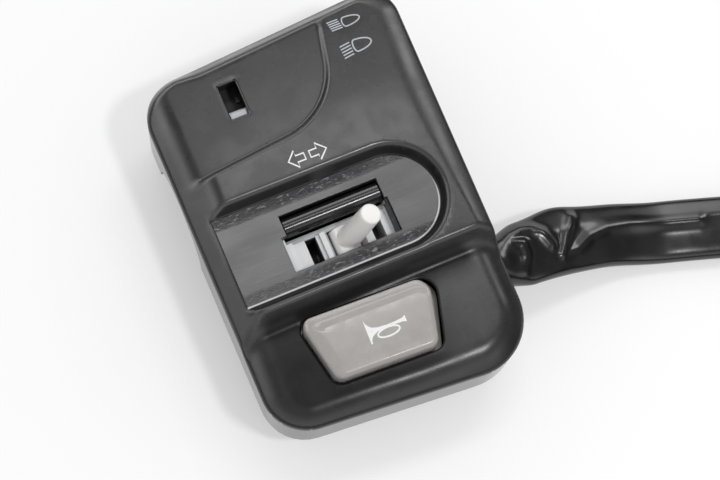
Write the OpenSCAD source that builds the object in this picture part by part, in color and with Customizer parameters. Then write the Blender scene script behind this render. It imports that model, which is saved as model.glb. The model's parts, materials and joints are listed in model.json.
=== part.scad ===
// Left-hand handlebar switch cluster for a motorbike.
// A two-part housing clamps on the bar. It holds a dimmer slide under a thumb pad, a turn-signal
// carriage with a rocking lever behind a gloss bezel, and a sprung horn button. A sleeved lead
// leaves at the right and ends in a plug.
// Origin on the handlebar axis at the middle of the housing. +X runs along the bar to the lead side,
// +Y up the face and +Z out of the face. Lengths are millimetres and angles degrees.

/* [Handlebar] */
// Outside diameter of the handlebar tube
bar_d = 22.2; // [21.8:0.1:22.6]
// Wall of the half round saddles that grip the bar
saddle_wall = 2; // [1.8:0.1:2.2]

/* [Housing] */
// Width along the bar
housing_w = 57.6; // [56:0.2:62]
// Bar axis to the top edge at mid width
top_reach = 26.9; // [26:0.1:29]
// Bar axis to the bottom edge at mid width
bottom_reach = 54.8; // [53:0.1:58]
// Slant of the top and bottom edges
end_tilt = 4.8; // [3.5:0.1:5.5]
// Narrowing of the right edge toward the foot
foot_taper = 2; // [0:0.1:2.4]
// Corner radius at the top right
top_right_r = 8; // [7:0.1:10]
// Corner radius at the top left
top_left_r = 9.8; // [9:0.1:13]
// Corner radius at the bottom left
bottom_left_r = 9.5; // [8:0.1:11]
// Corner radius at the bottom right
bottom_right_r = 12; // [10:0.1:13]
// Side wall thickness
wall = 2.2; // [1.8:0.1:2.4]
// Face wall thickness under the plateau
roof_t = 2.6; // [2.2:0.1:3]
// Bar surface to the raised face
face_gap = 8; // [7.6:0.1:8.6]
// Bar surface to the flat back
back_gap = 3; // [2.6:0.1:4]
// Inset of the rear shell at its back
rear_taper = 5; // [3.5:0.1:5.4]
// Step of the seam where the rear shell meets the front shell
seam_step = 0.25; // [0:0.05:0.4]
// Set-back of the rear shell at the left mouth of the bar bore
mouth_relief = 2.4; // [2:0.1:2.8]

/* [Face] */
// Raised face down to the plateau
plateau_drop = 2.2; // [1.8:0.1:2.6]
// Plateau down to the rim edge
rim_drop = 4.4; // [3.6:0.1:5]
// Width of the chamfer between rim and plateau
rim_inset = 3.6; // [3:0.1:4]
// Middle of the housing to the left end of the raised face
raise_left = 23.8; // [22.6:0.1:24]
// Bar axis to the lower edge of the raised face
raise_low = 27.5; // [27:0.1:28]
// Width of the raised face's right-hand chamfer
shoulder_w = 4.4; // [3.8:0.1:4.8]
// Fall of the raised face toward the horn
face_fall = 2; // [1:0.1:3]
// Plateau down to the horn floor
horn_drop = 1.7; // [1.4:0.1:2]
// Raised face down to the thumb pad at its crease
pad_drop = 1; // [0.6:0.1:1.2]
// Fall of the thumb pad to the left
pad_tilt = 2; // [1:0.1:2.2]
// Radius of the thumb pad crease
pad_r = 16; // [12:0.5:18]
// Radius of the bezel recess at the raised face
recess_r = 11.7; // [11:0.1:11.9]
// Fall of the horn pocket to the left
horn_pocket_tilt = 2; // [1:0.1:2.2]

/* [Turn switch] */
// Middle of the carriage travel along the bar
turn_x = -0.6; // [-1:0.1:0]
// Middle of the carriage across the face
turn_y = -19.9; // [-20.1:0.1:-19.8]
// Bezel radius at its round end
bezel_r = 9.7; // [9.5:0.1:9.8]
// Bezel thickness
bezel_t = 1.5; // [1.2:0.1:1.6]
// Radius of the half round rail in the window
rail_r = 2; // [1.8:0.1:2.05]
// Carriage length along the bar
carriage_l = 11.2; // [11:0.1:11.6]
// Carriage width across the face
carriage_w = 5.8; // [5.6:0.1:5.9]
// Carriage travel to each side
carriage_travel = 2.3; // [1.8:0.1:2.4]
// Lever diameter
lever_d = 4.3; // [4:0.1:4.4]
// Pivot to lever tip
lever_reach = 14.9; // [13:0.1:17]
// Lean of the lever to the right
lever_lean = 18; // [10:1:18]
// Detent ball radius
ball_r = 0.8; // [0.6:0.05:0.85]

/* [Horn] */
// Horn floor up to the top of the button
horn_rise = 3.3; // [3:0.1:4]
// Button bevel width
horn_bevel = 1.7; // [1.2:0.1:2]
// Gap round the button
horn_gap = 0.35; // [0.3:0.05:0.4]
// Added gap at the button's top right corner
horn_side_gap = 1; // [0.6:0.1:1.2]
// Button travel
horn_travel = 2.2; // [1.5:0.1:2.3]
// Horn spring wire
horn_wire = 0.8; // [0.6:0.1:0.9]
// Horn spring mean radius
horn_coil_r = 3.7; // [3.6:0.1:4]
// Horn spring turns
horn_turns = 5; // [4:0.5:5.5]

/* [Dimmer] */
// Middle of the dimmer slot along the bar
dimmer_x = -10.85; // [-11.2:0.05:-10.6]
// Slot width
slot_w = 3.8; // [3.6:0.1:4]
// Slot length
slot_l = 7.6; // [7.4:0.1:8]
// Slider tongue thickness
tongue_t = 1.3; // [1:0.1:1.5]

/* [Fasteners] */
// Housing screw diameter
screw_d = 4; // [3.5:0.1:4.2]
// Small screw diameter
small_screw_d = 2.5; // [2.2:0.1:2.6]

/* [Lead] */
// Outside diameter of the vinyl sleeve
sleeve_d = 10.5; // [9.5:0.1:10.6]
// Bar axis down to the lead exit
exit_low = 34; // [33.5:0.1:34.5]
// Wall of the rubber grommet
grommet_wall = 0.8; // [0.6:0.1:0.9]

/* [Clearances] */
// Sliding fit of moving pieces
slide_gap = 0.1; // [0.08:0.01:0.14]
// Loose fit of caps and sleeves
loose_gap = 0.3; // [0.2:0.05:0.35]
// Fit of screws in their pilot holes
thread_gap = 0.02; // [0.01:0.01:0.05]

/* [Hidden] */
$fn = 48;
bar_r = bar_d / 2;
saddle_r = bar_r + saddle_wall;
half_w = housing_w / 2;
face_z = bar_r + face_gap;
plateau_z = face_z - plateau_drop;
rim_z = plateau_z - rim_drop;
roof_z = plateau_z - roof_t;
back_z = -bar_r - back_gap;
far = 200;

// Housing outline: top right, top left, bottom left, bottom right
rise = tan(end_tilt);
foot_x = half_w - foot_taper;
outline_pts = [
    [half_w, top_reach + half_w * rise],
    [-half_w, top_reach - half_w * rise],
    [-half_w, -bottom_reach + half_w * rise],
    [foot_x, -bottom_reach - foot_x * rise]
];
outline_radii = [top_right_r, top_left_r, bottom_left_r, bottom_right_r];

// Raised face: run of its end slopes for each unit of drop
raise_drop = plateau_drop + rim_drop;
left_run = 0.64;
low_run = 1.07;
raise_inset = 3.4;
fall_y = -5;
fall_l = raise_low + 0.5;
horn_floor_z = plateau_z - horn_drop;
horn_under_z = horn_floor_z - roof_t - 0.6;
horn_step_y = -raise_low - 3;

// Thumb pad: crease corner and the directions of its two edges
pad_corner = [7.4, 4.1];
pad_up = [10, 42];
pad_left = [-55, -5.6];

// Bezel recess
bezel_x = 10.7;
bezel_y = -16.9;
bezel_left = -24.8;
recess_slope = recess_r - bezel_r - 0.1;
seat_z = plateau_z - bezel_t;
window_top = -11.3;
window_split = -15.7;
window_bottom = -23.2;
window_upper = [-11.9, 9.4];
window_lower = [-13.1, 10];
ledge_w = 1.1;
ledge_drop = 0.8;

// Turn switch levels and frame
pivot_z = roof_z - 2.7;
carriage_top = roof_z + 0.2;
board_top = roof_z - 8.8;
board_t = 1.4;
contact_t = 0.4;
contact_z = board_top + 0.5 + slide_gap;
carriage_z = contact_z + contact_t;
frame_top = seat_z - slide_gap;
frame_x = [-15, 11.8];
frame_y = [-25.2, window_split - 0.05];
track_half_l = carriage_l / 2 + carriage_travel + slide_gap;
track_half_w = carriage_w / 2 + slide_gap;
track_x = [turn_x - track_half_l, turn_x + track_half_l];
track_y = [turn_y - track_half_w, turn_y + track_half_w];
flange_w = 1;
flange_top = carriage_z + 1.6;
hub_r = 2.7;
hub_w = carriage_w - 0.4;
shoulder_l = 0.8;
shoulder_drop = 1.2;
rail_y = (window_top + window_split) / 2;
rail_z = roof_z + 0.2;
rail_tab_z = roof_z - 1.8;
ear_t = 1.6;
turn_ear_z = roof_z - 7;
turn_posts = [[-19.5, -19.6], [16.3, -19.6]];
ball_x = turn_x - 4.2;
ball_z = roof_z - 4;
ball_y = turn_y - carriage_w / 2 + ball_r;
detent_wire = 0.3;

// Horn button: top left, bottom left, bottom right, top right
horn_pts = [[-16.9, -32.9], [-14.2, -46.7], [7.2, -47.8], [11, -33.9]];
horn_radii = [2, 2.2, 2, 3];
horn_open_pts = horn_pts + horn_side_gap * [[0, 0], [0, 0], [0.3, 0], [1, 0]];
horn_mid = [-3.8, -40.6];
horn_top = horn_floor_z + horn_rise;
horn_shoulder = horn_top - 1.4;
horn_flange = 0.9;
horn_flange_z = [horn_under_z - 1.4, horn_under_z - 0.1];
horn_wall = 1.6;
horn_roof = horn_top - 2;
horn_seat = horn_roof - 1.1;
horn_base_drop = 5.7;
horn_base_z = horn_under_z - horn_base_drop;
horn_base_t = 1.6;
horn_posts = [[-20.2, -38], [15.8, -38]];
horn_plate_r = 6.4;
horn_tail_x = 3.8;
horn_washer_t = 0.4;
horn_stem_r = 2;
horn_stud_top = horn_base_z + 1.7;
horn_contact_z = horn_stud_top + horn_travel + slide_gap;
horn_contact_t = 0.8;
horn_spring_z = horn_base_z + horn_washer_t;
horn_spring_l = horn_seat - horn_spring_z;
pocket_pts = [[19, -33], [-23.4, -33], [-24.4, -50.2], [16, -51.4]];
pocket_radii = [3, 3, 7, 10];

// Dimmer levels
slot_low = top_reach - 15.8;
slot_high = slot_low + slot_l;
dimmer_travel = slot_l - tongue_t - 0.5;
slider_l = 3.3;
slider_w = 11.9;
slider_z = [roof_z - 1.8, roof_z - 0.2];
slider_y = slot_low - 0.8;
tongue_y = slot_low + 0.2;
tongue_top = plateau_z - 0.6;
leg_l = 1.6;
dimmer_contact_z = roof_z - 3.7;
dimmer_pad_z = roof_z - 4.3;
dimmer_plate_t = 1.5;
dimmer_x0 = dimmer_x - 6.65;
dimmer_x1 = dimmer_x + 6.65;
dimmer_y0 = slot_low + 1.1;
dimmer_end_t = 1.5;
dimmer_y1 = slider_y + slider_l + dimmer_travel + 0.8 + dimmer_end_t;
dimmer_rail_y0 = slot_low + 0.2;
dimmer_posts = [[-20.5, slot_low + 5.9], [-1.4, slot_low + 9.9]];

dimmer_strip_x = 2.4;
dimmer_terminal_xy = [
    [dimmer_x - dimmer_strip_x, slot_low + 6.9],
    [dimmer_x + dimmer_strip_x, slot_low + 2.4],
    [dimmer_x + dimmer_strip_x, slot_low + 6.9]
];
dimmer_strip_y = [
    [dimmer_y0 + 0.2, slot_low + 8.9],
    [dimmer_y0 + 0.2, slot_low + 3.5],
    [slot_low + 5.3, slot_low + 8.9]
];

// Fasteners
housing_screw_xy = [[15.5, top_reach - 9.1], [-17.5, -28.3], [13.5, -45]];
screw_r = screw_d / 2;
screw_head_r = screw_r * 1.8;
screw_head_h = screw_r * 1.2;
screw_seat_z = back_z + 3.1;
screw_tip_z = rim_z - 2.4;
boss_r = 3.2;
rear_boss_r = 5;
small_r = small_screw_d / 2;
small_head_r = small_r * 1.85;
small_head_h = small_r * 1.25;
post_r = 2.6;
pilot_depth = 4.2;

// Lead: exit on the right wall, then a route along the floor to a coil of two arcs
sleeve_r = sleeve_d / 2;
exit_y = -exit_low;
exit_x = half_w - foot_taper * (outline_pts[0][1] + exit_low) / (outline_pts[0][1] - outline_pts[3][1]);
grommet_bore = sleeve_r + loose_gap;
grommet_r = grommet_bore + grommet_wall;
grommet_in = 3;
lead_x = exit_x - grommet_in;
floor_z = back_z + sleeve_r;
coil_centre = [170, -12.5];
coil_r = 57;
coil_inner_r = 44;
coil_turn = 72;
lead_start = 252;
route = [
    [lead_x, exit_y, 0],
    [exit_x + 2.5, exit_y, 0],
    [37, exit_y - 0.1, -0.9],
    [46, exit_y - 0.6, -4.3],
    [56, exit_y - 2, floor_z + 1.4],
    [66, exit_y - 4.8, floor_z],
    [78, exit_y - 8.5, floor_z],
    [115, exit_y - 20.5, floor_z],
    concat(coil_centre + coil_r * [cos(lead_start), sin(lead_start)], floor_z)
];
coil_shift = coil_centre + (coil_r - coil_inner_r) * [cos(coil_turn), sin(coil_turn)];
coil_step = 15;
coil_in = concat(dir(lead_start + 90), 0);
coil_path = concat(
    [for (a = [lead_start - 360 : coil_step : coil_turn - 1])
        concat(coil_centre + coil_r * dir(a), floor_z)],
    [for (a = [coil_turn : coil_step : coil_turn + 180])
        concat(coil_shift + coil_inner_r * dir(a), floor_z)]
);
coil_gap = min([
    for (i = [0 : len(coil_path) - 1])
    for (j = [0 : len(coil_path) - 1])
    if (j - i > 6) norm(coil_path[j] - coil_path[i]) - sleeve_d
]);
echo(least_coil_gap_mm = coil_gap);
plug_at = coil_path[len(coil_path) - 1];
boot_l = 8;
plug_l = 20;
plug_w = 12;
plug_rows = [-2.3, 2.3];
plug_columns = [-3.6, 0, 3.6];

// Inner leads from the tails of the three switches to the grommet
turn_tail_z = board_top - board_t - 2;
horn_tail_z = horn_base_z - horn_base_t - 1.4;
dimmer_tail_z = dimmer_pad_z - dimmer_plate_t - 1.6;
turn_lead_r = 1.3;
horn_lead_r = 1.1;
dimmer_lead_r = 1;
lead_gap = 0.4;
turn_lead_z = turn_tail_z - turn_lead_r - lead_gap;
horn_lead_z = horn_tail_z - horn_lead_r - lead_gap;
dimmer_lead_z = dimmer_tail_z - dimmer_lead_r - lead_gap;
over_bar_z = bar_r + dimmer_lead_r + 1.1;
lead_in_x = lead_x - lead_gap;
turn_lead = [
    [-7, -19.9, turn_lead_z], [5, -20.4, turn_lead_z], [14, -26, turn_lead_z],
    [19, -31.4, 0.2], [lead_in_x, -33.6, 0]
];
horn_lead = [
    [-3.8, -40.6, horn_lead_z], [4, -40, horn_lead_z], [12, -38, 0.2],
    [18, -37.2, -1.6], [lead_in_x, -36.6, -2]
];
dimmer_lead = [
    [-14, slot_low + 6.5, dimmer_lead_z], [-6, slot_low + 7.1, dimmer_lead_z],
    [4, slot_low + 10.5, dimmer_lead_z], [13, slot_low + 12.1, 7],
    [19.6, slot_low + 9.5, 9], [22, 15.2, 11.6],
    [22, 9, over_bar_z], [22, 0, over_bar_z], [22, -9, over_bar_z],
    [22, -15.2, 11], [22, -22, 6], [22.4, -28, 4], [lead_in_x, -31.8, 2.6]
];
channel_x = [20.6, 23.4];
channel_z = [5, over_bar_z + dimmer_lead_r + 0.6];

// Room for the dimmer above the saddle
dimmer_room_x = [dimmer_posts[0][0] - post_r - 0.5, dimmer_posts[1][0] + post_r + 0.5];
dimmer_room_y = slider_y - 0.5;
dimmer_room_z = dimmer_tail_z - 0.5;

// Webs that tie the saddle to the roof
web_x = [-20, -7, 6, 17];
web_y = 8;
web_t = 2;

// Helpers
function unit(v) = v / norm(v);
function dir(a) = [cos(a), sin(a)];
function edge_normal(a, b) = atan2(a[0] - b[0], b[1] - a[1]);
function corner_arc(a, b, c, r, inset, steps) =
    let (
        u = unit(a - b),
        v = unit(c - b),
        middle = b + unit(u + v) * r / sin(acos(u * v) / 2),
        first = edge_normal(a, b),
        second = edge_normal(b, c),
        last = second < first ? second + 360 : second
    )
    [for (k = [0 : steps]) middle + (r - inset) * dir(first + (last - first) * k / steps)];
function rounded(pts, radii, inset, steps = 8) =
    let (n = len(pts))
    [for (i = [0 : n - 1])
        for (p = corner_arc(pts[(i + n - 1) % n], pts[i], pts[(i + 1) % n], radii[i], inset, steps)) p];
function outline(inset) = rounded(outline_pts, outline_radii, inset);
function spline_point(a, b, c, d, t) =
    b + 0.5 * t * (c - a + t * (2 * a - 5 * b + 4 * c - d + t * (3 * b - a - 3 * c + d)));
function spline(p, steps) =
    let (n = len(p))
    concat(
        [for (i = [0 : n - 2])
            for (k = [0 : steps - 1])
                spline_point(p[max(i - 1, 0)], p[i], p[i + 1], p[min(i + 2, n - 1)], k / steps)],
        [p[n - 1]]
    );

// Prism between two levels
module slab(pts, low, high) {
    translate([0, 0, low])
        linear_extrude(high - low)
            polygon(pts);
}

// Upright block between two corners
module block(low, high) {
    translate(low)
        cube(high - low);
}

// Post between two levels
module post(at, r, low, high) {
    translate([at[0], at[1], low])
        cylinder(r = r, h = high - low);
}

// Round bar along X, between two places
module bar_x(r, low, high) {
    translate([low, 0, 0])
        rotate([0, 90, 0])
            cylinder(r = r, h = high - low);
}

// Unbroken tube along a path, with square ends that face given ways
module tube(path, r, sides, first = undef, last = undef) {
    n = len(path);
    points = [
        for (i = [0 : n - 1])
            let (
                chord = path[min(i + 1, n - 1)] - path[max(i - 1, 0)],
                ahead = i == 0 && first != undef ? first : chord,
                along = unit(i == n - 1 && last != undef ? last : ahead),
                side = unit(cross([0, 0, 1], along)),
                up = cross(along, side)
            )
            for (k = [0 : sides - 1])
                path[i] + r * (sin(360 * k / sides) * side - cos(360 * k / sides) * up)
    ];
    polyhedron(points, tube_faces(n, sides));
}

function tube_faces(n, sides) = concat(
    [[for (k = [0 : sides - 1]) k]],
    [[for (k = [sides - 1 : -1 : 0]) (n - 1) * sides + k]],
    [for (i = [0 : n - 2])
        for (k = [0 : sides - 1])
            [i * sides + k, (i + 1) * sides + k, (i + 1) * sides + (k + 1) % sides]],
    [for (i = [0 : n - 2])
        for (k = [0 : sides - 1])
            [i * sides + k, (i + 1) * sides + (k + 1) % sides, i * sides + (k + 1) % sides]]
);

// Compression spring along +Z from its seat, as one unbroken wire
module spring(r, wire, length, turns) {
    steps = round(turns * 16);
    climb = length - wire;
    points = [
        for (i = [0 : steps])
            let (
                a = 360 * turns * i / steps,
                along = unit([-sin(a), cos(a), climb / (2 * PI * r * turns)]),
                out = concat(dir(a), 0),
                up = cross(along, out),
                at = concat(r * dir(a), wire / 2 + climb * i / steps)
            )
            for (k = [0 : 5])
                at + wire / 2 * (cos(60 * k) * out + sin(60 * k) * up)
    ];
    polyhedron(points, tube_faces(steps + 1, 6));
}

// D plate: straight left end, round right end
module d_plate(r, x, left) {
    translate([x, bezel_y])
        circle(r = r);
    translate([left, bezel_y - r])
        square([x - left, 2 * r]);
}

// Housing shells
module front_form() {
    hull() {
        slab(outline(0), 0, rim_z);
        slab(outline(rim_inset), rim_z, horn_floor_z);
    }
    hull() {
        translate([0, 0, rim_z - 1])
            linear_extrude(1)
                raised_area(0, 0, raise_drop);
        translate([0, 0, rim_z])
            linear_extrude(rim_drop)
                raised_area(0, raise_inset * rim_drop / raise_drop, plateau_drop);
        translate([0, 0, rim_z])
            linear_extrude(raise_drop)
                raised_area(shoulder_w, raise_inset, 0);
    }
}

// Area that the raised face covers at a given drop below it, with insets at the right and at the top
module raised_area(right, top, drop) {
    shift = [[-right, -top], [top, -top], [top, 0], [-right, 0]];
    intersection() {
        polygon(rounded(outline_pts + shift, outline_radii - top * [1, 1, 1, 1], 0));
        translate([-raise_left - left_run * drop, -raise_low - low_run * drop])
            square(far);
    }
}

// Inside of the front shell, with a lower roof behind the horn
module front_cavity() {
    difference() {
        hull() {
            slab(outline(wall), -1, rim_z - 1);
            slab(outline(wall + rim_inset - 0.6), rim_z - 1, roof_z);
        }
        block([-half_w, -far, horn_under_z], [half_w, horn_step_y, far]);
    }
}

// Slope of the raised face from the arrows to the horn
module fall_cut() {
    translate([0, fall_y, face_z])
        rotate([face_fall, 0, 0])
            block([-half_w - 1, -fall_l, 0], [half_w + 1, 0, 10]);
}

module pad_cut() {
    region = rounded([[0, 0], pad_up, [pad_left[0], pad_up[1]], pad_left], [pad_r, 1, 1, 1], 0, 12);
    translate([pad_corner[0], pad_corner[1], face_z - pad_drop])
        rotate([0, -pad_tilt, 0])
            slab(region, 0, 10);
}

module horn_pocket_cut() {
    translate([14, 0, horn_floor_z])
        rotate([0, -horn_pocket_tilt, 0])
            translate([-14, 0, 0])
                slab(rounded(pocket_pts, pocket_radii, 0), 0, 10);
}

module recess_cut() {
    hull() {
        translate([0, 0, plateau_z])
            linear_extrude(0.1)
                d_plate(recess_r - recess_slope, bezel_x, -far / 4);
        translate([0, 0, face_z])
            linear_extrude(0.1)
                d_plate(recess_r, bezel_x, -far / 4);
    }
    translate([0, 0, seat_z])
        linear_extrude(bezel_t + 0.1)
            d_plate(bezel_r + 0.05, bezel_x, bezel_left - 0.05);
}

// Half round saddle that grips the bar, on one side of the parting plane
module saddle(low, high) {
    intersection() {
        bar_x(saddle_r, -half_w + 0.6, half_w - 0.6);
        block([-half_w, -saddle_r - 1, low], [half_w, saddle_r + 1, high]);
    }
}

module exit_hole() {
    translate([0, exit_y, 0])
        bar_x(grommet_r + 0.1, exit_x - grommet_in - 3, exit_x + 5);
}

module front_housing() {
    color("dimgray")
    difference() {
        union() {
            difference() {
                front_form();
                pad_cut();
                fall_cut();
                recess_cut();
                horn_pocket_cut();
                front_cavity();
            }
            difference() {
                saddle(0, roof_z + 1.4);
                block(
                    [dimmer_room_x[0], dimmer_room_y, dimmer_room_z],
                    [dimmer_room_x[1], saddle_r + 1, saddle_r + 1]
                );
            }
            for (x = web_x)
                block([x - web_t / 2, -web_y, 0], [x + web_t / 2, web_y, roof_z + 0.6]);
            for (p = housing_screw_xy)
                post(p, boss_r, 0, roof_z + 0.6);
            for (p = turn_posts)
                post(p, post_r, turn_ear_z + ear_t, roof_z + 0.6);
            for (p = horn_posts)
                post(p, post_r, horn_base_z, horn_under_z + 0.6);
            for (p = dimmer_posts)
                post(p, post_r, dimmer_pad_z, roof_z + 0.6);
        }
        bar_x(bar_r, -far / 2, far / 2);
        exit_hole();
        block(
            [channel_x[0], -saddle_r - 2.6, channel_z[0]],
            [channel_x[1], saddle_r + 2.6, channel_z[1]]
        );
        block(
            [frame_x[0] - 0.2, frame_y[0] - 0.2, roof_z - 1],
            [frame_x[1] + 0.2, window_top + 0.6, seat_z + 1]
        );
        slab(rounded(horn_open_pts, horn_radii, -horn_gap), horn_under_z - 1, far);
        block(
            [dimmer_x - slot_w / 2, slot_low, roof_z - 1],
            [dimmer_x + slot_w / 2, slot_high, far]
        );
        for (p = housing_screw_xy)
            post(p, screw_r + thread_gap, -1, screw_tip_z + 1);
        for (p = turn_posts)
            post(p, small_r + thread_gap, turn_ear_z, turn_ear_z + ear_t + pilot_depth);
        for (p = horn_posts)
            post(p, small_r + thread_gap, horn_base_z - 1, horn_base_z + pilot_depth);
        for (p = dimmer_posts)
            post(p, small_r + thread_gap, dimmer_pad_z - 1, dimmer_pad_z + pilot_depth);
    }
}

module rear_form() {
    hull() {
        slab(outline(seam_step), -2, 0);
        slab(outline(rear_taper), back_z, -2);
    }
}

module rear_housing() {
    color("dimgray")
    difference() {
        union() {
            difference() {
                rear_form();
                hull() {
                    slab(outline(seam_step + wall), -2, 1);
                    slab(outline(rear_taper + wall), back_z + roof_t, -2);
                }
            }
            saddle(-saddle_r, 0);
            intersection() {
                rear_form();
                for (p = housing_screw_xy)
                    post(p, rear_boss_r, back_z, 0);
            }
            locating_lip();
        }
        bar_x(bar_r, -far / 2, far / 2);
        bar_x(saddle_r + 0.5, -half_w - 1, -half_w + mouth_relief);
        exit_hole();
        for (p = housing_screw_xy) {
            post(p, screw_r + slide_gap, back_z - 1, 2);
            post(p, screw_head_r + loose_gap, back_z - 1, screw_seat_z);
        }
    }
}

// Lip that centres the rear shell inside the front shell, clear of the saddles and the lead exit
module locating_lip() {
    difference() {
        slab(outline(wall + slide_gap), -2.5, 0.9);
        slab(outline(wall + 1.2), -3, 1);
        block([-half_w, -saddle_r - 0.3, 0], [half_w, saddle_r + 0.3, 2]);
        block([exit_x - 8, exit_y - grommet_r - 1, 0], [exit_x + 1, exit_y + grommet_r + 1, 2]);
    }
}

// Pan head screw from behind, with a cross recess
module pan_screw(r, head_r, head_h, seat, tip) {
    difference() {
        union() {
            translate([0, 0, seat - head_h])
                cylinder(r1 = head_r * 0.8, r2 = head_r, h = head_h * 0.4);
            translate([0, 0, seat - head_h * 0.6])
                cylinder(r = head_r, h = head_h * 0.6);
            translate([0, 0, seat])
                cylinder(r = r, h = tip - seat - r * 0.5);
            translate([0, 0, tip - r * 0.5])
                cylinder(r1 = r, r2 = r * 0.6, h = r * 0.5);
        }
        for (a = [0, 90])
            translate([0, 0, seat - head_h])
                rotate([0, 0, a])
                    cube([head_r * 1.1, head_r * 0.24, head_h], center = true);
    }
}

module housing_screws() {
    color("silver")
    for (p = housing_screw_xy)
        translate(concat(p, 0))
            pan_screw(screw_r, screw_head_r, screw_head_h, screw_seat_z, screw_tip_z);
}

// Small screw from behind through a plate between two levels into its post
module small_screw(at, low, high) {
    translate(concat(at, 0))
        pan_screw(small_r, small_head_r, small_head_h, low, high + pilot_depth - 0.6);
}

module module_screws() {
    color("silver") {
        for (p = turn_posts)
            small_screw(p, turn_ear_z, turn_ear_z + ear_t);
        for (p = horn_posts)
            small_screw(p, horn_base_z - horn_base_t, horn_base_z);
        for (p = dimmer_posts)
            small_screw(p, dimmer_pad_z - dimmer_plate_t, dimmer_pad_z);
    }
}

// Turn switch
module turn_bezel() {
    color("black")
    difference() {
        translate([0, 0, seat_z])
            linear_extrude(bezel_t)
                d_plate(bezel_r, bezel_x, bezel_left);
        block([window_upper[0], window_split - 1, 0], [window_upper[1], window_top, far]);
        block([window_lower[0], window_bottom, 0], [window_lower[1] - ledge_w, window_split, far]);
        block(
            [window_lower[0], window_bottom, plateau_z - ledge_drop],
            [window_lower[1], window_split, far]
        );
    }
}

module turn_rail() {
    color("black") {
        translate([0, rail_y, rail_z])
            bar_x(rail_r, window_upper[0] + slide_gap, window_upper[1] - slide_gap);
        block(
            [frame_x[0] + 0.2, rail_y - rail_r * 0.9, rail_tab_z],
            [frame_x[1] - 0.2, rail_y + rail_r * 0.9, rail_z]
        );
    }
}

module turn_frame() {
    ear_w = 2 * post_r;
    color("lightgray")
    difference() {
        union() {
            block([frame_x[0], frame_y[0], board_top], [frame_x[1], frame_y[1], frame_top]);
            for (x = [frame_x[0], frame_x[1] - 2.4])
                block([x, frame_y[1] - 1, rail_tab_z - 3], [x + 2.4, rail_y + rail_r * 0.9, rail_tab_z]);
            translate([0, 0, turn_ear_z])
                linear_extrude(ear_t) {
                    for (p = turn_posts)
                        translate(p)
                            circle(d = ear_w);
                    translate([turn_posts[0][0], turn_posts[0][1] - ear_w / 2])
                        square([turn_posts[1][0] - turn_posts[0][0], ear_w]);
                }
        }
        block([track_x[0], track_y[0], board_top - 1], [track_x[1], track_y[1], far]);
        block(
            [track_x[0], track_y[0] - flange_w - slide_gap, board_top - 1],
            [track_x[1], track_y[1] + flange_w * 0.6 + slide_gap, flange_top + slide_gap]
        );
        block(
            [window_lower[0] + 1.8, track_y[0], roof_z - 0.9],
            [window_lower[1] - 1.2, track_y[1], far]
        );
        block(
            [window_lower[0] + 0.6, track_y[1] - 0.1, rail_tab_z],
            [window_lower[1] - 0.6, frame_y[1] + 0.1, far]
        );
        for (x = [-carriage_travel, 0, carriage_travel])
            post([ball_x + x, track_y[0] + ball_r * 0.5], ball_r, flange_top, carriage_top);
        for (p = turn_posts)
            post(p, small_r + slide_gap, 0, roof_z);
    }
}

module turn_carriage() {
    slot_top = carriage_top - pivot_z + 0.1;
    slot_half = hub_r + slide_gap;
    slot_wide = slot_half + slot_top * tan(lever_lean);
    color("gainsboro")
    difference() {
        union() {
            block(
                [turn_x - carriage_l / 2, turn_y - carriage_w / 2, carriage_z],
                [turn_x + carriage_l / 2, turn_y + carriage_w / 2, carriage_top]
            );
            block(
                [turn_x - carriage_l / 2, track_y[0] - flange_w, carriage_z],
                [turn_x + carriage_l / 2, track_y[1] + flange_w * 0.6, flange_top]
            );
        }
        translate([turn_x, turn_y, pivot_z])
            rotate([90, 0, 0]) {
                cylinder(r = slot_half, h = 20, center = true);
                linear_extrude(20, center = true)
                    polygon([
                        [-slot_half, 0], [slot_half, 0], [slot_wide, slot_top], [-slot_wide, slot_top]
                    ]);
            }
        translate([ball_x, turn_y - 10, ball_z])
            rotate([-90, 0, 0])
                cylinder(r = ball_r + 0.05, h = 11);
        for (side = [-1, 1])
            translate([turn_x + side * carriage_l / 2, turn_y, carriage_top])
                cube([2 * shoulder_l, 20, 2 * shoulder_drop], center = true);
    }
}

// Lever profile turned about its own axis: slim taper and a small round at the tip
module turn_lever() {
    r = lever_d / 2;
    tip = 0.5;
    profile = concat(
        [[0, 0], [r + 0.3, 0], [r + 0.3, hub_r + 0.4]],
        [for (a = [0 : 30 : 90]) [r - tip + tip * cos(a), lever_reach - tip + tip * sin(a)]],
        [[0, lever_reach]]
    );
    color("white")
    translate([turn_x, turn_y, pivot_z]) {
        rotate([90, 0, 0])
            cylinder(r = hub_r, h = hub_w, center = true);
        rotate([0, lever_lean, 0])
            rotate_extrude()
                polygon(profile);
    }
}

module detent_ball() {
    color("silver")
    translate([ball_x, ball_y, ball_z])
        sphere(r = ball_r);
}

module detent_spring() {
    color("silver")
    translate([ball_x, turn_y + 1, ball_z])
        rotate([90, 0, 0])
            spring(ball_r - detent_wire, detent_wire, turn_y + 1 - ball_y - ball_r, 2.5);
}

module turn_contact() {
    color("goldenrod")
    difference() {
        block(
            [turn_x - carriage_l / 2 + 0.6, turn_y - 1.6, contact_z],
            [turn_x + carriage_l / 2 - 0.6, turn_y + 1.6, carriage_z]
        );
        post([turn_x, turn_y], 0.8, 0, far);
    }
}

turn_terminal_xy = [for (x = [-4.4, 0, 4.4]) [turn_x + x, turn_y]];

module turn_board() {
    color("saddlebrown")
    difference() {
        block(
            [frame_x[0] + 1, frame_y[0] + 0.2, board_top - board_t],
            [frame_x[1] - 1, frame_y[1] - 0.2, board_top]
        );
        for (p = turn_terminal_xy)
            post(p, 1, 0, far);
    }
}

module turn_terminals() {
    color("goldenrod")
    for (p = turn_terminal_xy) {
        post(p, 1.5, board_top, board_top + 0.5);
        post(p, 0.95, turn_tail_z, board_top + 0.2);
    }
}

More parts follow.
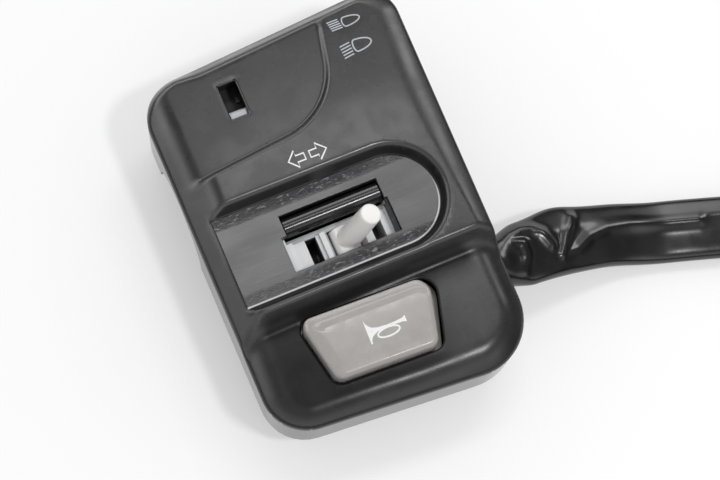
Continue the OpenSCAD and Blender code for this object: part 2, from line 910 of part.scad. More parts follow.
// Horn button: bevelled cap, skirt with a retaining flange, and a stem for the contact
module horn_button() {
    color("rosybrown")
    difference() {
        union() {
            hull() {
                slab(rounded(horn_pts, horn_radii, 0), horn_shoulder - 0.1, horn_shoulder);
                slab(rounded(horn_pts, horn_radii, horn_bevel), horn_top - 0.1, horn_top);
            }
            slab(rounded(horn_pts, horn_radii, 0), horn_flange_z[0], horn_shoulder);
            slab(rounded(horn_open_pts, horn_radii, -horn_flange), horn_flange_z[0], horn_flange_z[1]);
        }
        difference() {
            slab(rounded(horn_pts, horn_radii, horn_wall), 0, horn_roof);
            post(horn_mid, horn_coil_r + horn_wire, horn_seat, far);
            post(horn_mid, horn_stem_r, horn_contact_z + horn_contact_t, far);
        }
    }
}

module horn_spring() {
    color("silver")
    translate(concat(horn_mid, horn_spring_z))
        spring(horn_coil_r, horn_wire, horn_spring_l, horn_turns);
}

module horn_contact() {
    color("goldenrod")
    post(horn_mid, horn_stem_r + 0.5, horn_contact_z, horn_contact_z + horn_contact_t);
}

module horn_base() {
    ear_w = 2 * post_r;
    color("black")
    difference() {
        translate([0, 0, horn_base_z - horn_base_t])
            linear_extrude(horn_base_t) {
                translate(horn_mid)
                    circle(r = horn_plate_r);
                for (p = horn_posts)
                    translate(p)
                        circle(d = ear_w);
                translate([horn_posts[0][0], horn_posts[0][1] - post_r])
                    square([horn_posts[1][0] - horn_posts[0][0], ear_w]);
            }
        for (p = horn_posts)
            post(p, small_r + slide_gap, 0, far);
        post(horn_mid, 0.95, 0, far);
        post(horn_mid + [horn_tail_x, 0], 0.75, 0, far);
    }
}

// Fixed stud under the stem, and the washer that carries the spring
module horn_terminals() {
    color("goldenrod") {
        post(horn_mid, 1.9, horn_base_z, horn_stud_top);
        post(horn_mid, 0.9, horn_tail_z, horn_base_z + 0.2);
        difference() {
            post(horn_mid, horn_coil_r + horn_wire + 0.4, horn_base_z, horn_spring_z);
            post(horn_mid, 2.6, 0, far);
        }
        post(horn_mid + [horn_tail_x, 0], 0.7, horn_tail_z, horn_base_z + 0.2);
    }
}

// Dimmer slide, resting at its low end
module dimmer_slider() {
    color("white") {
        block(
            [dimmer_x - slider_w / 2, slider_y, slider_z[0]],
            [dimmer_x + slider_w / 2, slider_y + slider_l, slider_z[1]]
        );
        block(
            [dimmer_x - slot_w / 2 + 0.2, tongue_y, slider_z[1] - 0.2],
            [dimmer_x + slot_w / 2 - 0.2, tongue_y + tongue_t, tongue_top]
        );
        block(
            [dimmer_x - 1.7, slider_y + slider_l - leg_l, dimmer_contact_z + contact_t],
            [dimmer_x + 1.7, slider_y + slider_l, slider_z[0] + 0.2]
        );
    }
}

module dimmer_contact() {
    color("goldenrod")
    block(
        [dimmer_x - 3.4, slider_y + slider_l - leg_l, dimmer_contact_z],
        [dimmer_x + 3.4, slider_y + slider_l, dimmer_contact_z + contact_t]
    );
}

module dimmer_guide() {
    plate_z = dimmer_pad_z - dimmer_plate_t;
    rail_top = slider_z[0] - slide_gap;
    color("dimgray")
    difference() {
        union() {
            block([dimmer_x0, dimmer_y0, plate_z], [dimmer_x1, dimmer_y1, dimmer_pad_z]);
            for (x = [dimmer_x0, dimmer_x1 - 2.4])
                block([x, dimmer_rail_y0, dimmer_pad_z], [x + 2.4, dimmer_y1, rail_top]);
            block([dimmer_x0, dimmer_y1 - dimmer_end_t, plate_z], [dimmer_x1, dimmer_y1, rail_top]);
            translate([0, 0, plate_z])
                linear_extrude(dimmer_plate_t)
                    for (i = [0, 1])
                        dimmer_ear(dimmer_posts[i], i == 0 ? dimmer_x0 : dimmer_x1);
        }
        for (p = dimmer_posts)
            post(p, small_r + slide_gap, 0, dimmer_pad_z + 0.1);
        for (p = dimmer_terminal_xy)
            post(p, 0.75, 0, far);
    }
}

module dimmer_ear(at, edge) {
    translate(at)
        circle(r = post_r);
    translate([min(at[0], edge), at[1] - post_r])
        square([abs(at[0] - edge), 2 * post_r]);
}

module dimmer_terminals() {
    color("goldenrod")
    for (i = [0 : 2]) {
        p = dimmer_terminal_xy[i];
        block(
            [p[0] - 1, dimmer_strip_y[i][0], dimmer_pad_z],
            [p[0] + 1, dimmer_strip_y[i][1], dimmer_contact_z - slide_gap]
        );
        post(p, 0.7, dimmer_tail_z, dimmer_pad_z + 0.2);
    }
}

// Leads
module inner_leads() {
    color("darkslategray") {
        tube(spline(turn_lead, 3), turn_lead_r, 8, undef, [1, 0, 0]);
        tube(spline(horn_lead, 3), horn_lead_r, 8, undef, [1, 0, 0]);
        tube(spline(dimmer_lead, 3), dimmer_lead_r, 8, undef, [1, 0, 0]);
    }
}

module cable_grommet() {
    profile = [
        [grommet_bore, -grommet_in], [grommet_r, -grommet_in], [grommet_r, 0.3],
        [grommet_r + 0.5, 0.3], [grommet_r + 0.5, 1.4], [grommet_bore, 1.8]
    ];
    color("black")
    translate([exit_x, exit_y, 0])
        rotate([0, 90, 0])
            rotate_extrude()
                polygon(profile);
}

module harness_lead() {
    color("black")
    tube(spline(route, 3), sleeve_r, 10, [1, 0, 0], coil_in);
}

module harness_coil() {
    color("black")
    tube(coil_path, sleeve_r, 6, coil_in, coil_in);
}

module at_plug() {
    translate(plug_at)
        rotate([0, 0, coil_turn - 90])
            children();
}

module plug_boot() {
    color("black")
    at_plug()
        bar_x(sleeve_r - 0.05, 0, boot_l);
}

module plug_housing() {
    color("white")
    at_plug()
        difference() {
            union() {
                block([boot_l, -plug_w / 2, -sleeve_r], [boot_l + plug_l, plug_w / 2, sleeve_r]);
                block([boot_l + 5, -2, sleeve_r - 0.2], [boot_l + 13, 2, sleeve_r + 1.4]);
            }
            for (y = plug_columns)
                for (z = plug_rows)
                    block([boot_l + 6, y - 1.3, z - 1.5], [boot_l + plug_l + 1, y + 1.3, z + 1.5]);
        }
}

module plug_terminals() {
    color("goldenrod")
    at_plug()
        for (y = plug_columns)
            for (z = plug_rows)
                block([boot_l + 6, y - 0.4, z - 1.1], [boot_l + plug_l - 2, y + 0.4, z + 1.1]);
}

front_housing();
rear_housing();
housing_screws();
turn_bezel();
turn_rail();
turn_frame();
turn_carriage();
turn_lever();
detent_ball();
detent_spring();
turn_contact();
turn_board();
turn_terminals();
horn_button();
horn_spring();
horn_contact();
horn_base();
horn_terminals();
dimmer_slider();
dimmer_contact();
dimmer_guide();
dimmer_terminals();
module_screws();
inner_leads();
cable_grommet();
harness_lead();
harness_coil();
plug_boot();
plug_housing();
plug_terminals();
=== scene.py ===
"""Looks for a left-hand handlebar switch cluster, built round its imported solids."""
import json
import math

import bpy
import numpy as np
from mathutils import Matrix, Vector
from mathutils.geometry import delaunay_2d_cdt


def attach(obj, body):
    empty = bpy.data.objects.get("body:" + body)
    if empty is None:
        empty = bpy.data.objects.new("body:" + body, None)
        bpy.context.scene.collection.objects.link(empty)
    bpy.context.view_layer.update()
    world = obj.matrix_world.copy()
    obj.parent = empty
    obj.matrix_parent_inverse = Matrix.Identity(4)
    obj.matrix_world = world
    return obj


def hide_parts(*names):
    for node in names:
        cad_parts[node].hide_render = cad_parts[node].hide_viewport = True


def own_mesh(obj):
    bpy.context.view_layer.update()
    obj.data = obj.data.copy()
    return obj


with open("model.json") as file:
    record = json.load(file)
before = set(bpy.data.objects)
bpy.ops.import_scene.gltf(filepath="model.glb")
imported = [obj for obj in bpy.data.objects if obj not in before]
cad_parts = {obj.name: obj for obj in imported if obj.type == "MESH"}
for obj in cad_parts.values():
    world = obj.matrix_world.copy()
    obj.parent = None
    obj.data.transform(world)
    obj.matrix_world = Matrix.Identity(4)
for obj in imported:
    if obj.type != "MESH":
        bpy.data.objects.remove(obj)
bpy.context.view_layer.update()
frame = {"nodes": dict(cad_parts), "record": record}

MM = 0.001
NODES = frame["nodes"]


# Plane geometry, in millimetres
def unit(v):
    return v / np.linalg.norm(v)


def rounded(corners, radii, inset=0.0, steps=12):
    """Loop with round corners, counter-clockwise, moved inwards by inset."""
    corners = [np.array(c, float) for c in corners]
    loop = []
    for i, b in enumerate(corners):
        a, c = corners[i - 1], corners[(i + 1) % len(corners)]
        u, v = unit(a - b), unit(c - b)
        middle = b + unit(u + v) * radii[i] / math.sin(math.acos(u @ v) / 2)
        first = math.atan2(a[0] - b[0], b[1] - a[1])
        last = math.atan2(b[0] - c[0], c[1] - b[1])
        if last < first:
            last += 2 * math.pi
        for angle in np.linspace(first, last, steps + 1):
            loop.append(middle + (radii[i] - inset) * np.array((math.cos(angle), math.sin(angle))))
    return np.array(loop)


def normals_of(loop):
    """Outward unit normals of a counter-clockwise loop."""
    along = np.roll(loop, -1, 0) - np.roll(loop, 1, 0)
    out = np.stack((along[:, 1], -along[:, 0]), 1)
    return out / np.linalg.norm(out, axis=1)[:, None]


def split(loop, step):
    """Loop with no edge longer than step."""
    points = []
    for a, b in zip(loop, np.roll(loop, -1, 0)):
        count = max(1, math.ceil(np.linalg.norm(b - a) / step))
        points += [a + (b - a) * k / count for k in range(count)]
    return np.array(points)


def cross_at(loop, levels):
    """Loop with extra points where its left and right sides pass the given y levels."""
    points = []
    for a, b in zip(loop, np.roll(loop, -1, 0)):
        points.append(a)
        shares = [(y - a[1]) / (b[1] - a[1]) for y in levels if abs(b[1] - a[1]) > 1e-9]
        points += [a + (b - a) * t for t in sorted(t for t in shares if 1e-3 < t < 0.999)]
    return np.array(points)


def depth_in(points, loop):
    """Distance from a loop's edge, positive inside it."""
    nearest = np.full(len(points), 1e9)
    inside = np.zeros(len(points), bool)
    for a, b in zip(loop, np.roll(loop, -1, 0)):
        edge = b - a
        rel = points - a
        t = np.clip(rel @ edge / max(edge @ edge, 1e-12), 0, 1)
        nearest = np.minimum(nearest, np.linalg.norm(rel - t[:, None] * edge, axis=1))
        spans = (a[1] > points[:, 1]) != (b[1] > points[:, 1])
        if abs(edge[1]) > 1e-12:
            inside ^= spans & (points[:, 0] < a[0] + (points[:, 1] - a[1]) * edge[0] / edge[1])
    return np.where(inside, nearest, -nearest)


def soft_min(a, b, k):
    h = np.maximum(k - np.abs(a - b), 0) / k
    return np.minimum(a, b) - h * h * k / 4


def soft_max(a, b, k):
    return -soft_min(-a, -b, k)


def step_up(low, high, value):
    t = np.clip((value - low) / (high - low), 0, 1)
    return t * t * (3 - 2 * t)


# Main sizes of the solids, in millimetres
BAR_R = 11.1
SADDLE_R = 13.1
HALF_W = 28.8
FACE_Z = 19.1
PLATEAU_Z = 16.9
RIM_Z = 12.5
HORN_FLOOR_Z = 15.2
ROOF_Z = 14.3
BACK_Z = -14.1
FLOOR_Z = -8.85
BEZEL_X, BEZEL_Y, BEZEL_R, BEZEL_LEFT = 10.7, -16.9, 9.7, -24.8
EXIT_Y = -34.0
EXIT_R = 6.45
OUTLINE_PTS = np.array([(28.8, 29.3184), (-28.8, 24.4816), (-28.8, -52.3816), (26.8, -57.0505)])
OUTLINE_RADII = np.array([8, 9.8, 9.5, 12])
OUTLINE = rounded(OUTLINE_PTS, OUTLINE_RADII, 0, 16)


def raised_loop(right, top):
    """Outline of the raised part with insets at its right and its top."""
    shift = np.array([(-right, -top), (top, -top), (top, 0), (-right, 0)])
    return rounded(OUTLINE_PTS + shift, OUTLINE_RADII - top, 0, 16)


RAISED_MID = raised_loop(0, 2.267)
RAISED_TOP = raised_loop(4.4, 3.4)
PAD = rounded([(7.4, 4.1), (17.4, 46.1), (-47.6, 46.1), (-47.6, -1.5)], [16, 1, 1, 1], 0, 16)
POCKET = rounded([(22, -29.8), (-23.6, -29.8), (-24.6, -50.4), (16.4, -51.8)], [3, 3, 7, 10], 0, 12)
HORN_PTS = [(-16.9, -32.9), (-14.2, -46.7), (7.2, -47.8), (11, -33.9)]
HORN_FLANGE_PTS = [(-16.9, -32.9), (-14.2, -46.7), (7.5, -47.8), (12, -33.9)]
HORN_RADII = [2, 2.2, 2, 3]
HORN_FACE_PTS = [(-13.5, -35.9), (-12.1, -44.4), (7.0, -45.2), (9.2, -36.4)]
HORN_FACE_RADII = [1.3, 1.6, 1.6, 2]
HORN_MID = (-3.8, -40.6)
HORN_TOP = 18.5
SLEEVE_D = 10.5


# Camera of the photograph: the way back to it, and the point that it looks at in millimetres
CAMERA_BACK = Vector((-math.tan(math.radians(10)), -math.tan(math.radians(13)), 1)).normalized()
CAMERA_AIM = Vector((1.3, -22.0, 16.9))


def add_camera():
    roll, distance = math.radians(21.9), 0.340
    back = CAMERA_BACK
    x_axis = Vector((1, 0, 0))
    x_axis = (x_axis - back * x_axis.dot(back)).normalized()
    y_axis = back.cross(x_axis)
    right = x_axis * math.cos(roll) - y_axis * math.sin(roll)
    up = x_axis * math.sin(roll) + y_axis * math.cos(roll)
    pose = Matrix((right, up, back)).transposed().to_4x4()
    pose.translation = CAMERA_AIM * MM + back * distance
    data = bpy.data.cameras.new("camera")
    data.sensor_width = 36
    data.lens = 85
    data.clip_start = 0.01
    camera = bpy.data.objects.new("camera", data)
    bpy.context.scene.collection.objects.link(camera)
    camera.matrix_world = pose
    bpy.context.scene.camera = camera


# Procedural materials
NOISE_ROUGHNESS = 0.55


class Surface:
    """A material whose Principled shader is fed by noise in the piece's own coordinates, in metres."""

    def __init__(self, name, **sockets):
        self.material = bpy.data.materials.new(name)
        self.material.use_nodes = True
        self.tree = self.material.node_tree
        self.shader = self.tree.nodes["Principled BSDF"]
        self.place = self.node("ShaderNodeTexCoord").outputs["Object"]
        self.heights = []
        for socket, value in sockets.items():
            self.shader.inputs[socket.replace("_", " ")].default_value = value

    def node(self, kind, **settings):
        made = self.tree.nodes.new(kind)
        for key, value in settings.items():
            setattr(made, key, value)
        return made

    def feed(self, socket, value):
        if isinstance(value, bpy.types.NodeSocket):
            self.tree.links.new(value, socket)
        elif hasattr(value, "__len__") and len(value) == 3 and socket.type == "RGBA":
            socket.default_value = (*value, 1)
        else:
            socket.default_value = value

    def noise(self, per_mm, detail=3.0, stretch=(1, 1, 1)):
        """Noise with so many features in a millimetre."""
        spread = self.node("ShaderNodeMapping")
        spread.inputs["Scale"].default_value = [s * per_mm / MM for s in stretch]
        self.feed(spread.inputs["Vector"], self.place)
        made = self.node("ShaderNodeTexNoise")
        made.inputs["Scale"].default_value = 1
        made.inputs["Detail"].default_value = detail
        made.inputs["Roughness"].default_value = NOISE_ROUGHNESS
        self.feed(made.inputs["Vector"], spread.outputs["Vector"])
        return made.outputs["Fac"]

    def spread(self, value, low, high, first=0.0, last=1.0):
        made = self.node("ShaderNodeMapRange", interpolation_type="SMOOTHSTEP")
        for socket, given in zip(made.inputs, (value, low, high, first, last)):
            self.feed(socket, given)
        return made.outputs["Result"]

    def maths(self, operation, a, b=0.0):
        made = self.node("ShaderNodeMath", operation=operation)
        self.feed(made.inputs[0], a)
        self.feed(made.inputs[1], b)
        return made.outputs[0]

    def mix(self, share, first, second):
        made = self.node("ShaderNodeMix", data_type="RGBA")
        self.feed(made.inputs["Factor"], share)
        self.feed(made.inputs[6], first)
        self.feed(made.inputs[7], second)
        return made.outputs[2]

    def mix_value(self, share, first, second):
        made = self.node("ShaderNodeMix", data_type="FLOAT")
        for socket, given in zip(made.inputs[:1] + made.inputs[2:4], (share, first, second)):
            self.feed(socket, given)
        return made.outputs[0]

    def axis(self, name):
        made = self.node("ShaderNodeSeparateXYZ")
        self.feed(made.inputs[0], self.place)
        return self.maths("DIVIDE", made.outputs[name], MM)

    def band(self, value, low, high, soft):
        """One between low and high, fading to nought over soft."""
        rise = self.spread(value, low - soft, low + soft)
        fall = self.spread(value, high - soft, high + soft, 1, 0)
        return self.maths("MULTIPLY", rise, fall)

    def attribute(self, name):
        return self.node("ShaderNodeAttribute", attribute_name=name).outputs["Fac"]

    def colour(self, value):
        self.feed(self.shader.inputs["Base Color"], value)

    def roughness(self, value):
        self.feed(self.shader.inputs["Roughness"], value)

    def bump(self, height, depth_mm, strength=1.0):
        made = self.node("ShaderNodeBump")
        made.inputs["Strength"].default_value = strength
        made.inputs["Distance"].default_value = depth_mm * MM
        self.feed(made.inputs["Height"], height)
        if self.heights:
            self.feed(made.inputs["Normal"], self.heights[-1])
        self.heights.append(made.outputs["Normal"])
        self.feed(self.shader.inputs["Normal"], made.outputs["Normal"])


def housing_surface():
    """Black moulding, with wear, polish and painted shade from the shell's own attributes."""
    s = Surface("housing_black")
    cloud = s.noise(0.05, 4)
    tone = s.mix(s.spread(cloud, 0.3, 0.7), (0.016, 0.0158, 0.0165), (0.026, 0.0255, 0.0265))
    dust = s.spread(s.noise(2.6, 2), 0.66, 0.8, 0, 0.3)
    tone = s.mix(dust, tone, (0.07, 0.068, 0.066))
    tone = s.mix(s.maths("MULTIPLY", s.attribute("wear"), 0.45), tone, (0.10, 0.099, 0.10))
    # Painted shade: this mask darkens the colour and weakens the reflection in the pocket and the recess
    # walls.
    darker = s.attribute("darker")
    s.colour(s.mix(s.maths("MULTIPLY", darker, 0.6), tone, (0.002, 0.002, 0.002)))
    s.feed(s.shader.inputs["Specular IOR Level"], s.mix_value(darker, 0.5, 0.12))
    polish = s.attribute("polish")
    face = s.spread(s.noise(0.16, 3), 0.3, 0.7, 0.23, 0.31)
    s.roughness(s.mix_value(polish, face, 0.14))
    rough = s.maths("SUBTRACT", 1, polish)
    s.bump(s.maths("MULTIPLY", s.noise(4.2, 2), rough), 0.02, 0.4)
    s.bump(s.maths("MULTIPLY", s.noise(0.5, 2), rough), 0.04, 0.2)
    return s.material


def gloss_surface(name, hazed):
    """Gloss black; the hazed one is the bezel, with gritty borders that carry painted glints, a painted
    highlight along its low edge, a painted sheen towards its left and dull cut walls.
    """
    s = Surface(name, Specular_IOR_Level=0.5)
    base = (0.011, 0.011, 0.012)
    scratches = s.spread(s.noise(1.6, 2, (0.04, 1, 1)), 0.52, 0.62)
    if not hazed:
        s.colour(s.mix(s.maths("MULTIPLY", scratches, 0.1), base, (0.03, 0.03, 0.032)))
        s.roughness(s.spread(s.noise(0.3, 3), 0.3, 0.7, 0.19, 0.23))
        return s.material
    top = s.spread(s.axis("Z"), PLATEAU_Z - 0.6, PLATEAU_Z - 0.15, 0.08, 0.5)
    s.feed(s.shader.inputs["Specular IOR Level"], top)
    x, y = s.axis("X"), s.maths("SUBTRACT", s.axis("Y"), BEZEL_Y)
    along = s.maths("MAXIMUM", s.maths("SUBTRACT", x, BEZEL_X), 0)
    reach = s.maths("SQRT", s.maths("ADD", s.maths("MULTIPLY", along, along), s.maths("MULTIPLY", y, y)))
    # Painted highlight: a bright line along the bezel's low and right edge.
    edge = s.maths("MULTIPLY", s.spread(reach, BEZEL_R - 0.42, BEZEL_R - 0.3), s.spread(y, -3.5, 2.5, 1, 0))
    upper = s.maths("MULTIPLY", s.band(y, 7.6, 9.6, 0.6), s.spread(x, 4, 14, 1, 0.4))
    lower = s.maths("MULTIPLY", s.band(y, -9.0, -7.2, 0.5), s.spread(x, -14, -6, 0.3, 1))
    grit = s.maths("SUBTRACT", s.noise(1.7, 4, (0.5, 1.2, 1)), 0.5)
    border = s.maths("MAXIMUM", upper, lower)
    marks = s.maths("MULTIPLY", border, grit)
    haze = s.spread(s.noise(0.07, 3, (0.5, 1.4, 1)), 0.3, 0.72, 0.35, 1.0)
    tone = s.mix(haze, (0.018, 0.018, 0.020), (0.036, 0.036, 0.039))
    # Painted sheen: lighter towards the bezel's left end.
    tone = s.mix(s.spread(x, -24, -4, 0.5, 0), tone, (0.065, 0.065, 0.067))
    tone = s.mix(s.maths("MULTIPLY", scratches, 0.12), tone, (0.12, 0.12, 0.125))
    # Painted glints: light specks on the glue crumbs along the borders.
    tone = s.mix(s.maths("MULTIPLY", border, s.spread(grit, 0.06, 0.15, 0, 0.5)), tone, (0.4, 0.4, 0.41))
    # The painted edge highlight is mixed in last.
    s.colour(s.mix(s.maths("MULTIPLY", edge, 0.85), tone, (0.62, 0.62, 0.63)))
    s.roughness(s.mix_value(border, s.spread(haze, 0.35, 1, 0.2, 0.28), 0.16))
    s.bump(scratches, 0.005, 0.35)
    s.bump(marks, 0.8, 1.0)
    return s.material


def plastic_surface(name, tone, soil, rough, grain=0.02, soil_share=0.35, shade_levels=None):
    """Moulded plastic with faint soiling and fine grain; painted shade darkens it below the lower of two
    heights, fading out by the upper one, more at the left.
    """
    s = Surface(name, Specular_IOR_Level=0.45)
    dirt = s.spread(s.noise(0.22, 4), 0.48, 0.75, 0, soil_share)
    fine = s.spread(s.noise(1.7, 2), 0.6, 0.8, 0, soil_share * 0.7)
    shown = s.mix(fine, s.mix(dirt, tone, soil), soil)
    if shade_levels:
        # Painted shade on the deep parts, strongest at the left.
        depth_shade = s.spread(s.axis("Z"), *shade_levels, 0.95, 0)
        depth_shade = s.maths("MULTIPLY", depth_shade, s.spread(s.axis("X"), -4, 0, 1, 0.3))
        shown = s.mix(depth_shade, shown, (0.012, 0.011, 0.010))
    s.colour(shown)
    s.roughness(s.spread(s.noise(0.4, 2), 0.3, 0.7, rough - 0.06, rough + 0.08))
    s.bump(s.noise(3.2, 2), grain, 0.4)
    return s.material


def sleeve_surface():
    s = Surface("sleeve_vinyl", Specular_IOR_Level=0.6)
    cloud = s.noise(0.12, 3)
    s.colour(s.mix(s.spread(cloud, 0.3, 0.7), (0.007, 0.007, 0.0075), (0.014, 0.014, 0.015)))
    s.roughness(s.spread(s.noise(0.25, 3), 0.3, 0.7, 0.17, 0.24))
    s.bump(s.noise(0.3, 2), 0.06, 0.15)
    s.bump(s.noise(2.2, 2), 0.01, 0.3)
    return s.material


def metal_surface(name, tone, darker, rough):
    s = Surface(name, Metallic=1.0)
    s.colour(s.mix(s.spread(s.noise(0.5, 4), 0.4, 0.7), tone, darker))
    s.roughness(s.spread(s.noise(0.8, 3), 0.3, 0.7, rough - 0.08, rough + 0.12))
    s.bump(s.noise(3.0, 2, (0.2, 1, 1)), 0.01, 0.4)
    return s.material


def print_surface(name, tone):
    """Pad printing, a little thin in places."""
    s = Surface(name, Specular_IOR_Level=0.3)
    worn = s.spread(s.noise(1.8, 3), 0.58, 0.8, 0, 0.35)
    s.colour(s.mix(worn, tone, [c * 0.6 for c in tone]))
    s.roughness(s.spread(s.noise(1.0, 2), 0.3, 0.7, 0.45, 0.6))
    return s.material


HOUSING = housing_surface()
BEZEL = gloss_surface("bezel_gloss", True)
RAIL = gloss_surface("rail_gloss", False)
# Painted shade darkens the nylon's deep parts, below these heights.
NYLON = plastic_surface("nylon_grey", (0.68, 0.69, 0.70), (0.48, 0.47, 0.45), 0.34, shade_levels=(11.0, 13.6))
ACETAL = plastic_surface("acetal_white", (0.90, 0.89, 0.86), (0.62, 0.58, 0.5), 0.34, 0.01, 0.2)
SLIDER = plastic_surface("acetal_grey", (0.50, 0.52, 0.55), (0.36, 0.36, 0.36), 0.36, 0.01, 0.25)
BUTTON = plastic_surface("button_grey", (0.375, 0.357, 0.34), (0.31, 0.29, 0.27), 0.22, 0.004, 0.2)
INNER = plastic_surface("inner_black", (0.035, 0.035, 0.036), (0.06, 0.058, 0.055), 0.55)
# Board tinted nearly black, far darker than its brown laminate: painted shade where it shows through the
# deep gap.
SHADED_BOARD = plastic_surface("board_brown_shaded", (0.030, 0.016, 0.008), (0.016, 0.010, 0.006), 0.5)
RUBBER = plastic_surface("rubber_black", (0.028, 0.028, 0.029), (0.05, 0.049, 0.047), 0.62)
PLUG = plastic_surface("plug_nylon", (0.72, 0.71, 0.66), (0.55, 0.52, 0.45), 0.4)
SLEEVE = sleeve_surface()
STEEL = metal_surface("screw_zinc", (0.62, 0.62, 0.64), (0.4, 0.4, 0.41), 0.32)
# Brass toned down to a dull dark grey, far below brass's own colour: painted shade where it shows in the
# deep slot and gap.
BRASS = metal_surface("contact_brass", (0.20, 0.185, 0.16), (0.05, 0.046, 0.04), 0.42)
PRINT = print_surface("print_pale", (0.50, 0.53, 0.57))
PRINT_WHITE = print_surface("print_white", (0.86, 0.86, 0.86))
SLOT_MATERIALS = {
    "housing": HOUSING, "gloss_black": RAIL, "grey_nylon": NYLON, "white_acetal": ACETAL,
    "button_grey": BUTTON, "inner_black": INNER, "screw_steel": STEEL, "brass": BRASS,
    "board": SHADED_BOARD, "sleeve": SLEEVE, "grommet_rubber": RUBBER, "plug_nylon": PLUG,
}


# Meshes
def make_piece(name, verts, faces, material, body, slot, sharp=40):
    """Object from points in millimetres, smooth except at edges sharper than the angle."""
    mesh = bpy.data.meshes.new(name)
    mesh.from_pydata((np.asarray(verts, float) * MM).tolist(), [], faces)
    mesh.validate()
    mesh.polygons.foreach_set("use_smooth", [True] * len(mesh.polygons))
    mesh.set_sharp_from_angle(angle=math.radians(sharp))
    mesh.materials.append(material)
    piece = bpy.data.objects.new(name, mesh)
    bpy.context.scene.collection.objects.link(piece)
    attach(piece, body)
    return piece


def loft(rings, cap_first=True, cap_last=True):
    """Points and faces between closed rings of equal counts, each of points (x, y, z)."""
    count = len(rings[0])
    verts = np.concatenate(rings)
    faces = []
    for i in range(len(rings) - 1):
        for k in range(count):
            j = (k + 1) % count
            faces.append((i * count + k, i * count + j, (i + 1) * count + j, (i + 1) * count + k))
    if cap_first:
        faces.append(tuple(range(count - 1, -1, -1)))
    if cap_last:
        faces.append(tuple(range((len(rings) - 1) * count, len(rings) * count)))
    return verts, faces


def at_level(loop, z):
    return np.column_stack((loop, np.full(len(loop), z)))


def join(*parts):
    """One set of points and faces from several."""
    verts, faces, base = [], [], 0
    for part_verts, part_faces in parts:
        verts.append(np.asarray(part_verts, float))
        faces += [tuple(int(i) + base for i in face) for face in part_faces]
        base += len(part_verts)
    return np.concatenate(verts), faces


def turned(at, profile, count=28):
    """Solid turned about an upright axis; the profile gives (radius, z) from the lower to the upper end."""
    angles = np.linspace(0, 2 * math.pi, count, endpoint=False)
    circle = np.stack((np.cos(angles), np.sin(angles)), 1)
    return loft([at_level(np.array(at) + r * circle, z) for r, z in profile])


def boss(at, r, hole_r, low, high, hole_top):
    """Round boss with a blind hole from below."""
    edge = 0.3
    profile = [(hole_r, hole_top), (hole_r, low), (r - edge, low), (r, low + edge), (r, high)]
    return turned(at, profile)


def box(low, high):
    (x0, y0, z0), (x1, y1, z1) = low, high
    loop = np.array([(x0, y0), (x1, y0), (x1, y1), (x0, y1)])
    return loft([at_level(loop, z0), at_level(loop, z1)])


# Sleeved lead, from the exit along the floor to its coil and plug
def spline(points, steps):
    """Smooth curve through points, with so many steps between two of them."""
    points = [np.array(p, float) for p in points]
    last = len(points) - 1
    out = []
    for i in range(last):
        a, b, c, d = points[max(i - 1, 0)], points[i], points[i + 1], points[min(i + 2, last)]
        for k in range(steps):
            t = k / steps
            bend = 2 * a - 5 * b + 4 * c - d + t * (3 * b - a - 3 * c + d)
            out.append(b + 0.5 * t * (c - a + t * bend))
    return np.array(out + [points[-1]])


def lead_path():
    route = [
        (24.334, -34, 0), (29.834, -34, 0), (37, -34.1, -0.9), (46, -34.6, -4.3), (56, -36, -7.45),
        (66, -38.8, FLOOR_Z), (78, -42.5, FLOOR_Z), (115, -54.5, FLOOR_Z), (152.386, -66.71, FLOOR_Z),
    ]
    coil = []
    for centre, r, first, last in [((170, -12.5), 57, -108, 72), ((174.017, -0.136), 44, 72, 252)]:
        for angle in np.radians(np.arange(first, last + 0.5, 5)):
            coil.append((centre[0] + r * math.cos(angle), centre[1] + r * math.sin(angle), FLOOR_Z))
    return np.concatenate((spline(route, 12), spline(coil[1:36] + coil[37:], 2)))


def along_path(path, places):
    """Points of a path at given distances along it."""
    run = np.concatenate(([0], np.cumsum(np.linalg.norm(np.diff(path, axis=0), axis=1))))
    return np.stack([np.interp(places, run, path[:, i]) for i in range(3)], 1)


# Folds of the sleeve near the exit: height, width and line in plan
CREASES = [
    (0.9, 1.35, [(31.2, -30.8), (33.4, -29.7), (36.2, -29.3), (38.6, -29.9), (40.4, -31.6), (41.6, -34.6)]),
    (0.9, 1.2, [(48.7, -30.2), (46.4, -33.0), (44.6, -35.6), (43.1, -37.5)]),
    (0.7, 1.5, [(43.1, -37.5), (47.2, -37.3), (51.0, -35.6), (55.7, -35.2), (61.0, -36.0), (67.9, -38.0),
                (76, -40.6)]),
    (0.6, 1.1, [(33.3, -31.2), (35.4, -32.4), (35.2, -35.3), (33.2, -38.2)]),
]


def crease_height(points):
    """Height of the folds that stand on the sleeve near the exit, by place in plan."""
    lift = np.zeros(len(points))
    for height, width, line in CREASES:
        line = np.array(line)
        nearest = np.full(len(points), 1e9)
        for a, b in zip(line[:-1], line[1:]):
            edge = b - a
            t = np.clip((points - a) @ edge / (edge @ edge), 0, 1)
            nearest = np.minimum(nearest, np.linalg.norm(points - a - t[:, None] * edge, axis=1))
        lift = np.maximum(lift, height * np.exp(-((nearest / width) ** 2)))
    return lift


# The sleeve's flattening near the exit: where along it this starts and ends, and its shares and lengths
FLATTENS, ROUNDS, SINKS = (3.5, 11), (62, 100), (28, 46)
WIDER, THINNER = 0.33, 0.30
BULGE, BULGE_AT, BULGE_LONG = 1.2, 21, 6
CREST_AT, CREST_LEVEL, CREST_FALLS = 0.35, 0.85, (0.3, 0.14)
SLEEVE_SIDES = 120


